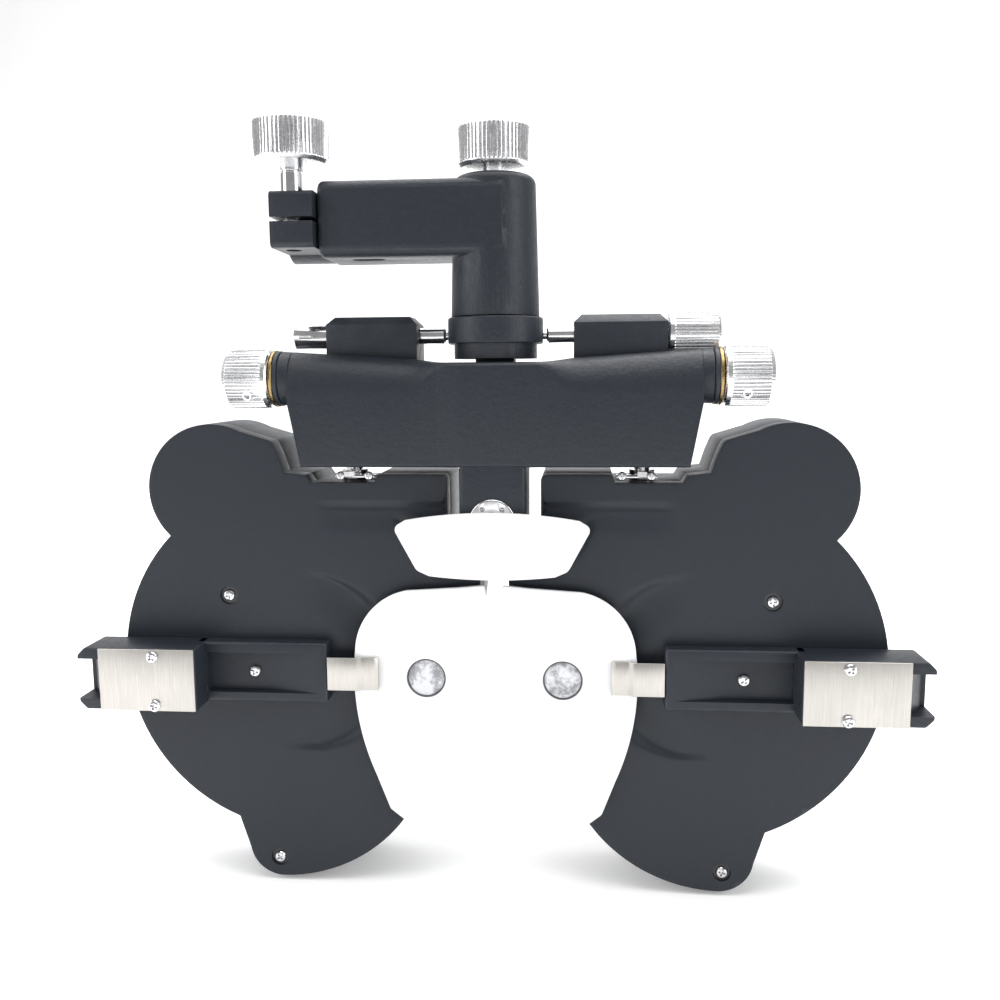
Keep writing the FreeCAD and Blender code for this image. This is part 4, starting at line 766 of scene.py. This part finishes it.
def sculpted_cover(node):
    """The cover with rounded rims, and its face meshed finely enough to carry the relief."""
    work = bmesh.new()
    work.from_mesh(bevelled(cleaned(node), 1.5, 4))
    bmesh.ops.remove_doubles(work, verts=work.verts, dist=2e-6)
    level = DATUM.y
    face_set = {face for face in work.faces if all(abs(v.co.y - level) < 2e-6 for v in face.verts)}
    rim = [edge for face in face_set for edge in face.edges
           if sum(other in face_set for other in edge.link_faces) == 1]
    rim = list(dict.fromkeys(rim))
    corners = list(dict.fromkeys(v for edge in rim for v in edge.verts))
    index = {vertex: i for i, vertex in enumerate(corners)}
    flat = [Vector((local(v.co).x, local(v.co).z)) for v in corners]
    pairs = [(index[edge.verts[0]], index[edge.verts[1]]) for edge in rim]
    sides = [(tuple(flat[a]), tuple(flat[b])) for a, b in pairs]
    low = [min(point[i] for point in flat) for i in range(2)]
    high = [max(point[i] for point in flat) for i in range(2)]
    taken = {(round(point.x / GRID_STEP), round(point.y / GRID_STEP)) for point in flat}
    for a, b in pairs:
        pieces = max(1, int((flat[a] - flat[b]).length / GRID_STEP * 2))
        for i in range(pieces):
            point = flat[a].lerp(flat[b], i / pieces)
            taken.add((round(point.x / GRID_STEP), round(point.y / GRID_STEP)))
    points = list(flat)
    for row in range(int(low[1] / GRID_STEP), int(high[1] / GRID_STEP) + 1):
        z = row * GRID_STEP
        crossings = sorted(x1 + (z - z1) * (x2 - x1) / (z2 - z1)
                           for (x1, z1), (x2, z2) in sides if (z1 > z) != (z2 > z))
        for column in range(int(low[0] / GRID_STEP) - 1, int(high[0] / GRID_STEP) + 2):
            x = column * GRID_STEP
            if (column, row) not in taken and sum(x > crossing for crossing in crossings) % 2:
                points.append(Vector((x, z)))
    verts2d, _, triangles, origins, _, _ = delaunay_2d_cdt(points, pairs, [], 0, 1e-5)
    bmesh.ops.delete(work, geom=list(face_set), context="FACES_ONLY")
    made = []
    for point, origin in zip(verts2d, origins):
        fixed = [i for i in origin if i < len(corners)]
        if fixed:
            made.append(corners[fixed[0]])
        else:
            made.append(work.verts.new(at(point.x, relief(point.x, point.y), point.y)))
    for triangle in triangles:
        centre = sum((verts2d[i] for i in triangle), Vector((0, 0))) / 3
        if inside(centre.x, centre.y, sides):
            try:
                work.faces.new([made[i] for i in triangle])
            except ValueError:
                continue
    bmesh.ops.recalc_face_normals(work, faces=work.faces)
    mesh = bpy.data.meshes.new(node + "_skin")
    work.to_mesh(mesh)
    work.free()
    return finish_piece(node + "_skin", mesh, BODY_OF[node], "body", None, [node], 40)


# ---------------------------------------------------------------- screws, aligner, clip and shield

SIGHT_X, SIGHT_GLASS_Y, SIGHT_Z = 26.8, -4.4, -118.4


def cross_recess_head(radius, height):
    """A raised screw head round the y axis, facing -y, with a cross recess in it."""
    profile = [(0, 0.02), (0, radius), (height * 0.55, radius), (height * 0.85, radius * 0.86),
               (height, radius * 0.62), (height, 0.02)]
    count = 40
    vertices = [Vector((r * math.cos(math.tau * i / count), -d, r * math.sin(math.tau * i / count))) * MM
                for d, r in profile for i in range(count)]
    faces = [(ring * count + i, ring * count + (i + 1) % count, (ring + 1) * count + (i + 1) % count,
              (ring + 1) * count + i) for ring in range(len(profile) - 1) for i in range(count)]
    faces += [tuple(range(count)), tuple(range((len(profile) - 1) * count, len(profile) * count))]
    head = outward(mesh_from("screw_head", vertices, faces))
    for wide, tall in ((0.62, 0.16), (0.16, 0.62)):
        wide, tall = wide * radius, tall * radius
        slot = block((-wide, wide), (-height - 1, -height * 0.35), (-tall, tall))
        slot.transform(Matrix.Translation(-DATUM))
        head = boolean(head, slot)
    return head


def case_screws(side):
    """The wing's screws: small bright heads, and where they are sunk in the cover a thin black disc in each
    counterbore as painted shade.
    """
    node = f"{side}_case_screws"
    heads, painted_shade_wells = [], []
    pattern = cross_recess_head(2.3, 1.5)
    for number, (low, high) in enumerate(islands(node)):
        centre = (low + high) / 2
        sunk = low.y > 0
        seat = low.y + (1.2 if sunk else 1.0)
        head = pattern.copy()
        spin = Matrix.Rotation(math.radians(17 + 31 * number), 4, "Y")
        head.transform(Matrix.Translation(at(centre.x, seat, centre.z)) @ spin)
        heads.append(head)
        if sunk:
            # painted shade: a thin disc of the black dial finish laid in the counterbore so that the recess
            # reads dark
            painted_shade_wells.append(extruded(circle(centre.x, centre.z, 3.45, 36), "y", 1.25, 1.0))
    body = BODY_OF[node]
    finish_piece(node + "_heads", joined(node + "_heads", *heads), body, "steel", None, [node], 30)
    # the counterbores' painted shade, one black piece per wing
    finish_piece(node + "_wells", joined(node + "_wells", *painted_shade_wells), body, "dial")


def aligner_base(near, joint, bottom, top, sign):
    """The low arm of an aligner, with a channel along it that runs out towards the eye."""
    front = -7
    base = block((sign * near, sign * (joint + 4)), (front, 0), (bottom + 0.8, top))
    base = bevelled(base, 0.9, 3)
    groove = [(near + 4, front - 0.01), (near + 4, front - 2), (joint - 0.6, front - 2),
              (joint - 0.6, front + 3.4), (near + 24, front + 3.4)]
    return boolean(base, extruded(mirrored(groove, sign), "z", bottom + 4.4, top - 4.2))


def aligner_tower(joint, far, front, bottom, top, sign):
    """The sight box of an aligner, open at its outer end."""
    outline = [(joint, bottom), (far - 3, bottom), (far, bottom + 3), (far, top - 3), (far - 3, top),
               (joint, top)]
    tower = bevelled(extruded(mirrored(outline, sign), "y", front, -0.5), 0.8, 3)
    mouth = [(far - 10.5, front - 1), (far + 1, front - 1), (far + 1, -6.5), (far - 1.5, -6.5)]
    return boolean(tower, extruded(mirrored(mouth, sign), "z", bottom + 4.4, top - 4.4))


def aligner(side, sign):
    """Corneal aligner: base, sight box, slanted mirror and plate."""
    node, plate_node = f"{side}_corneal_housing", f"{side}_corneal_plate"
    low, high = (local(corner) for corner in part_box(node))
    plate_low, plate_high = (local(corner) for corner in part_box(plate_node))
    near, far = sorted((abs(low.x), abs(high.x)))
    bottom, top, front = low.z, high.z, low.y
    joint = min(abs(plate_low.x), abs(plate_high.x)) - 0.2
    base = aligner_base(near, joint, bottom, top, sign)
    tower = aligner_tower(joint, far, front, bottom, top, sign)
    skin = joined(node + "_skin", base, tower)
    finish_piece(node + "_skin", skin, BODY_OF[node], "body", None, [node], 30)

    slope = [(far - 10.3, front + 0.3), (far - 1.9, -6.9), (far - 2.3, -6.6), (far - 10.7, front + 0.6)]
    glass = bevelled(extruded(mirrored(slope, sign), "z", bottom + 4.5, top - 4.5), 0.1, 1)
    finish_piece(f"{side}_aligner_mirror", glass, BODY_OF[node], "steel", MIRROR)

    plate = bevelled(block(*zip(plate_low, plate_high)), 0.3, 3)
    finish_piece(plate_node + "_skin", plate, BODY_OF[plate_node], "brushed", None, [plate_node])


def bent_clip(side, sign):
    """Spring clip of sheet steel: flat at its foot, a joggle down over the shield, and a lifted lip."""
    node = f"{side}_shield_clip"
    low, high = (local(corner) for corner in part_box(node))
    near, far = sorted((abs(low.x), abs(high.x)))
    upper, lower, thick = low.y, high.y - 0.9, 0.7
    line = [(far, upper), (near + 9.2, upper), (near + 8.2, upper + 0.25), (near + 6.9, lower - 0.1),
            (near + 6.0, lower), (near + 2.2, lower), (near + 1.2, lower - 0.25), (near + 0.1, lower - 0.9)]
    outline = mirrored(line + [(x, y + thick) for x, y in reversed(line)], sign)
    sheet = bevelled(extruded(outline, "z", low.z, high.z), 0.18, 2, 40)
    finish_piece(node + "_skin", sheet, BODY_OF[node], "brushed", None, [node], 50)


def sight_glass(side, sign):
    """Mottled glass and its thin rim in the face shield's sight hole."""
    body = BODY_OF[f"{side}_face_shield"]
    hole = at(sign * SIGHT_X, SIGHT_GLASS_Y, SIGHT_Z)
    dome = [(-0.35, 0.02, 0), (-0.33, 2, 0), (-0.24, 4, 0), (-0.1, 6, 0), (0.1, 7.1, 0), (1.0, 7.1, 0),
            (1.0, 0.02, 0)]
    turned(f"{side}_sight_glass", hole, EXAMINER, dome, body, "glass", plain=64, material=FROSTED)
    rim = [(-0.5, 7.3), (-0.5, 7.65), (2.2, 7.65), (2.2, 7.05), (0.2, 7.05)]
    revolved(f"{side}_sight_rim", hole, EXAMINER, rim, body, "disc")


def wing(side, sign):
    """One wing: case, aligner, shield, dials and swing-in units."""
    sculpted_cover(f"{side}_rear_cover")
    soften(f"{side}_front_housing", 0.9)
    case_screws(side)
    aligner(side, sign)
    bent_clip(side, sign)
    soften(f"{side}_face_shield", 0.45, 3)
    sight_glass(side, sign)
    dials(side)
    cross_cylinder(side, sign)
    rotary_prism(side, sign)


# ---------------------------------------------------------------- dials and lens units

FACE_LIFT = 0.15
RING_RADIUS = 13.4
WEAK_RIM = [(-8, 8), (-8, 32.2), (-7.4, 32.9), (-7.3, 33.5), (-1.4, 33.5), (-1.3, 32.9), (-0.5, 32.2),
            (0, 31), (0, 8)]
AXIS_RIM = [(-8, 4.2), (-8, 14.4), (-7.5, 14.9), (-7.4, 15.4), (-1.2, 15.4), (-1.1, 14.9), (-0.3, 14.2),
            (0, 13.6), (0, 4.2)]
LENS_RIM = [(-1.7, 9.1), (-1.7, 10.2), (-1.3, 10.5), (1.3, 10.5), (1.7, 10.2), (1.7, 9.1)]
PRISM_RIM = [(-3.0, 8.9), (-3.0, 10.9), (3.75, 10.9), (3.8, 12.6), (4.2, 13.0), (4.3, 13.3), (6.2, 13.3),
             (6.3, 12.8), (6.8, 12.2), (6.8, 10.2), (5.6, 8.9)]
LENS_STEM = [(9.8, 0.02, 0), (9.8, 1.15, 0), (13.9, 1.15, 0), (13.9, 2.2, 0), (14.2, 2.7, 0), (14.5, 2.7, 1),
             (16.6, 2.7, 1), (17.0, 2.2, 0), (17.0, 0.02, 0)]


def lens(name, centre, radius, thick, body):
    """A lens with two gently domed faces, seen along the instrument."""
    dome = 0.9
    steps = [radius * i / 8 for i in range(9)]
    front = [(-thick / 2 - dome * (1 - (r / radius) ** 2), max(r, 0.02), 0) for r in steps]
    back = [(-distance, r, 0) for distance, r, _ in reversed(front)]
    turned(name, centre, EXAMINER, front + back, body, "glass", plain=64)


def numeral(text, size):
    """A thin numeral as a mesh, flat in its own xy plane."""
    curve = bpy.data.curves.new("label", "FONT")
    curve.body = text
    curve.size = size * MM
    curve.align_x = "CENTER"
    curve.align_y = "CENTER"
    curve.extrude = 0.06 * MM
    curve.resolution_u = 3
    holder = bpy.data.objects.new("label", curve)
    bpy.context.scene.collection.objects.link(holder)
    bpy.context.view_layer.update()
    mesh = bpy.data.meshes.new_from_object(holder)
    bpy.data.objects.remove(holder)
    return mesh


def scale_marks(name, centre, radii, count, body, long_every=1, short=0.5, labels=(), size=0, label_radius=0):
    """White ticks round a dial that faces the examiner, and numerals whose heads point outwards."""
    marks = []
    inner, outer = radii
    place = Matrix.Translation(centre)
    for i in range(count):
        start = inner if i % long_every == 0 else outer - (outer - inner) * short
        tick = block((-0.16, 0.16), (-0.05, 0.06), (start, outer))
        tick.transform(place @ Matrix.Rotation(math.tau * i / count, 4, "Y") @ Matrix.Translation(-DATUM))
        marks.append(tick)
    facing = Matrix(((-1, 0, 0, 0), (0, 0, 1, 0), (0, 1, 0, 0), (0, 0, 0, 1)))
    outwards = Matrix.Translation(Vector((0, 0, label_radius)) * MM)
    for i, label in enumerate(labels):
        mesh = numeral(label, size)
        turn = Matrix.Rotation(math.tau * i / len(labels), 4, "Y")
        mesh.transform(place @ turn @ outwards @ facing)
        marks.append(mesh)
    finish_piece(name, joined(name, *marks), body, "white", INK)


def face_centre(node):
    """Centre of a turned node's face towards the examiner, just proud of it so that no planes coincide."""
    low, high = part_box(node)
    return Vector(((low.x + high.x) / 2, high.y + FACE_LIFT * MM, (low.z + high.z) / 2))


def marked_knob(node, length, ridges, groove, chamfer, replaces=()):
    """A knurled grip with a ring of ticks on its face."""
    face, body = face_centre(node), BODY_OF[node]
    low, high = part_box(node)
    radius = (high.x - low.x) / 2 / MM
    foot = face - Vector((0, length, 0)) * MM
    profile = knurled_profile(length, radius + 0.1, 0.7, chamfer, hub=0.55 * radius, recess=0.7, band=1.2)
    turned(f"{node}_grip", foot, EXAMINER, profile, body, "dial", replaces, ridges=ridges, groove=groove)
    scale_marks(f"{node}_marks", face, (0.64 * radius, 0.8 * radius), 12, body, long_every=3)


def dials(side):
    """The wing's five controls on the examiner's side."""
    weak, axis_dial = f"{side}_weak_sphere_dial", f"{side}_cylinder_axis_dial"
    strong = f"{side}_strong_sphere_knob"
    face, body = face_centre(weak), BODY_OF[weak]
    revolved(f"{weak}_rim", face, EXAMINER, WEAK_RIM, body, "dial", ridges=110, groove=0.7)
    numbers = [str(number) for number in range(12)]
    scale_marks(f"{weak}_marks", face, (27.5, 30.3), 48, body, 4, 0.5, numbers, 3.4, 24)
    marked_knob(strong, 16, 56, 0.7, 1.4, [strong])
    marked_knob(f"{side}_auxiliary_knob", 13, 60, 0.8, 1.6)
    marked_knob(f"{side}_cylinder_power_knob", 13, 36, 0.6, 1.0)
    face, body = face_centre(axis_dial), BODY_OF[axis_dial]
    revolved(f"{axis_dial}_rim", face, EXAMINER, AXIS_RIM, body, "dial", ridges=64, groove=0.5)
    scale_marks(f"{axis_dial}_marks", face, (10.6, 13.0), 36, body, 3, 0.45)


def ring_centre(arm, sign, at_top):
    """Centre of the ring at the free end of a swing-in arm."""
    low, high = (local(corner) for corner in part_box(arm))
    outer_x = high.x if sign > 0 else low.x
    z = high.z - RING_RADIUS if at_top else low.z + RING_RADIUS
    return at(outer_x - sign * RING_RADIUS, (low.y + high.y) / 2, z)


def cross_cylinder(side, sign):
    """The flip lens on its swing-in arm, with a small knurled grip."""
    arm, node = f"{side}_cross_cylinder_arm", f"{side}_cross_cylinder_lens"
    soften(arm, 0.5)
    centre, body = ring_centre(arm, sign, True), BODY_OF[node]
    revolved(f"{node}_rim", centre, EXAMINER, LENS_RIM, body, "steel", replaces=[node])
    lens(f"{node}_glass", centre, 9.1, 1.0, body)
    slant = math.radians(45)
    direction = (sign * math.cos(slant), 0, math.sin(slant))
    turned(f"{node}_grip", centre, direction, LENS_STEM, body, "knob", ridges=18, groove=0.3)


def rotary_prism(side, sign):
    """The turning prism on its swing-in arm, in a knurled ring with ticks."""
    arm, node = f"{side}_rotary_prism_arm", f"{side}_rotary_prism_ring"
    soften(arm, 0.5)
    centre, body = ring_centre(arm, sign, False), BODY_OF[node]
    revolved(f"{node}_rim", centre, EXAMINER, PRISM_RIM, body, "dial", replaces=[node], ridges=50, groove=0.4)
    lens(f"{node}_glass", centre, 8.9, 1.8, body)
    face = centre + Vector((0, max(distance for distance, _ in PRISM_RIM), 0)) * MM
    scale_marks(f"{node}_marks", face, (10.6, 12.0), 24, body, long_every=6)


# ---------------------------------------------------------------- camera, floor and light

def camera():
    """The view from the patient's side, a little right of the mid plane and tilted down."""
    yaw, pitch, roll = (math.radians(angle) for angle in (4.90, -7.55, -0.42))
    flat_right = Vector((math.cos(yaw), math.sin(yaw), 0))
    flat_ahead = Vector((-math.sin(yaw), math.cos(yaw), 0))
    ahead = flat_ahead * math.cos(pitch) + Vector(UP) * math.sin(pitch)
    steep_up = flat_right.cross(ahead)
    right = flat_right * math.cos(roll) + steep_up * math.sin(roll)
    up = steep_up * math.cos(roll) - flat_right * math.sin(roll)
    data = bpy.data.cameras.new("camera")
    data.sensor_width = 36
    data.lens = 34.2
    data.clip_start = 0.01
    eye = bpy.data.objects.new("camera", data)
    bpy.context.scene.collection.objects.link(eye)
    turn = Matrix((right, up, -ahead)).transposed().to_4x4()
    eye.matrix_world = Matrix.Translation(at(33.5, -362.4, 0)) @ turn
    bpy.context.scene.camera = eye


def sweep():
    """Seamless white floor that bends up into a wall behind the object; lengths in metres."""
    shader = Shader("white_sweep", roughness=0.9, specular_ior_level=0.1, emission_color=(1.0, 1.0, 1.0),
                    emission_strength=0.19)
    tone = shader.spread(shader.noise(3), 0, 1)
    shader.set("base_color", shader.blend(tone, (0.97, 0.97, 0.97), (0.955, 0.955, 0.96)))
    floor_z = cad_bounds[0][2] - 2 * MM
    front, depth, bend, half_width, wall_top = -3.0, 2.2, 0.8, 6.0, 4.0
    angles = [math.radians(6 * step) for step in range(16)]
    path = [(front, 0.0)]
    path += [(depth + bend * math.sin(angle), bend * (1 - math.cos(angle))) for angle in angles]
    path.append((depth + bend, wall_top))
    vertices = [(x, y, floor_z + z) for y, z in path for x in (-half_width, half_width)]
    faces = [(2 * i, 2 * i + 1, 2 * i + 3, 2 * i + 2) for i in range(len(path) - 1)]
    mesh = mesh_from("sweep", vertices, faces)
    mesh.materials.append(shader.material)
    mesh.shade_smooth()
    backdrop = bpy.data.objects.new("sweep", mesh)
    bpy.context.scene.collection.objects.link(backdrop)


def softbox(name, place, target, size, power):
    """A rectangular area light at a place, turned to its target; metres and watts."""
    data = bpy.data.lights.new(name, "AREA")
    data.shape = "RECTANGLE"
    data.size, data.size_y = size
    data.energy = power
    light = bpy.data.objects.new(name, data)
    bpy.context.scene.collection.objects.link(light)
    turn = (place - target).to_track_quat("Z", "Y").to_matrix().to_4x4()
    light.matrix_world = Matrix.Translation(place) @ turn


def studio():
    """White sweep with soft light from above, behind and both sides."""
    sweep()
    heart = at(0, 10, -60)
    softbox("overhead", heart + Vector((0.1, -0.1, 1.3)), heart, (1.4, 1.1), 16)
    softbox("left_box", heart + Vector((-1.2, -0.6, 0.5)), heart, (0.6, 1.1), 9)
    softbox("right_box", heart + Vector((1.2, -0.6, 0.5)), heart, (0.6, 1.1), 8)
    softbox("floor_wash", heart + Vector((0, 0.9, 1.6)), heart + Vector((0, 1.4, -0.2)), (3.0, 1.2), 45)
    world = bpy.data.worlds.new("studio")
    bpy.context.scene.world = world
    world.use_nodes = True
    background = world.node_tree.nodes["Background"]
    background.inputs["Color"].default_value = (1, 1, 1, 1)
    background.inputs["Strength"].default_value = 0.36
    bpy.context.scene.view_settings.view_transform = "Standard"


# ---------------------------------------------------------------- assembly

camera()
studio()
bracket()
cross_bar()
for side, sign in SIDES.items():
    wing(side, sign)

for node, obj in frame["nodes"].items():
    obj.data.materials.clear()
    obj.data.materials.append(FROSTED if node.endswith("sight_window") else MATERIALS[SLOTS[node]])
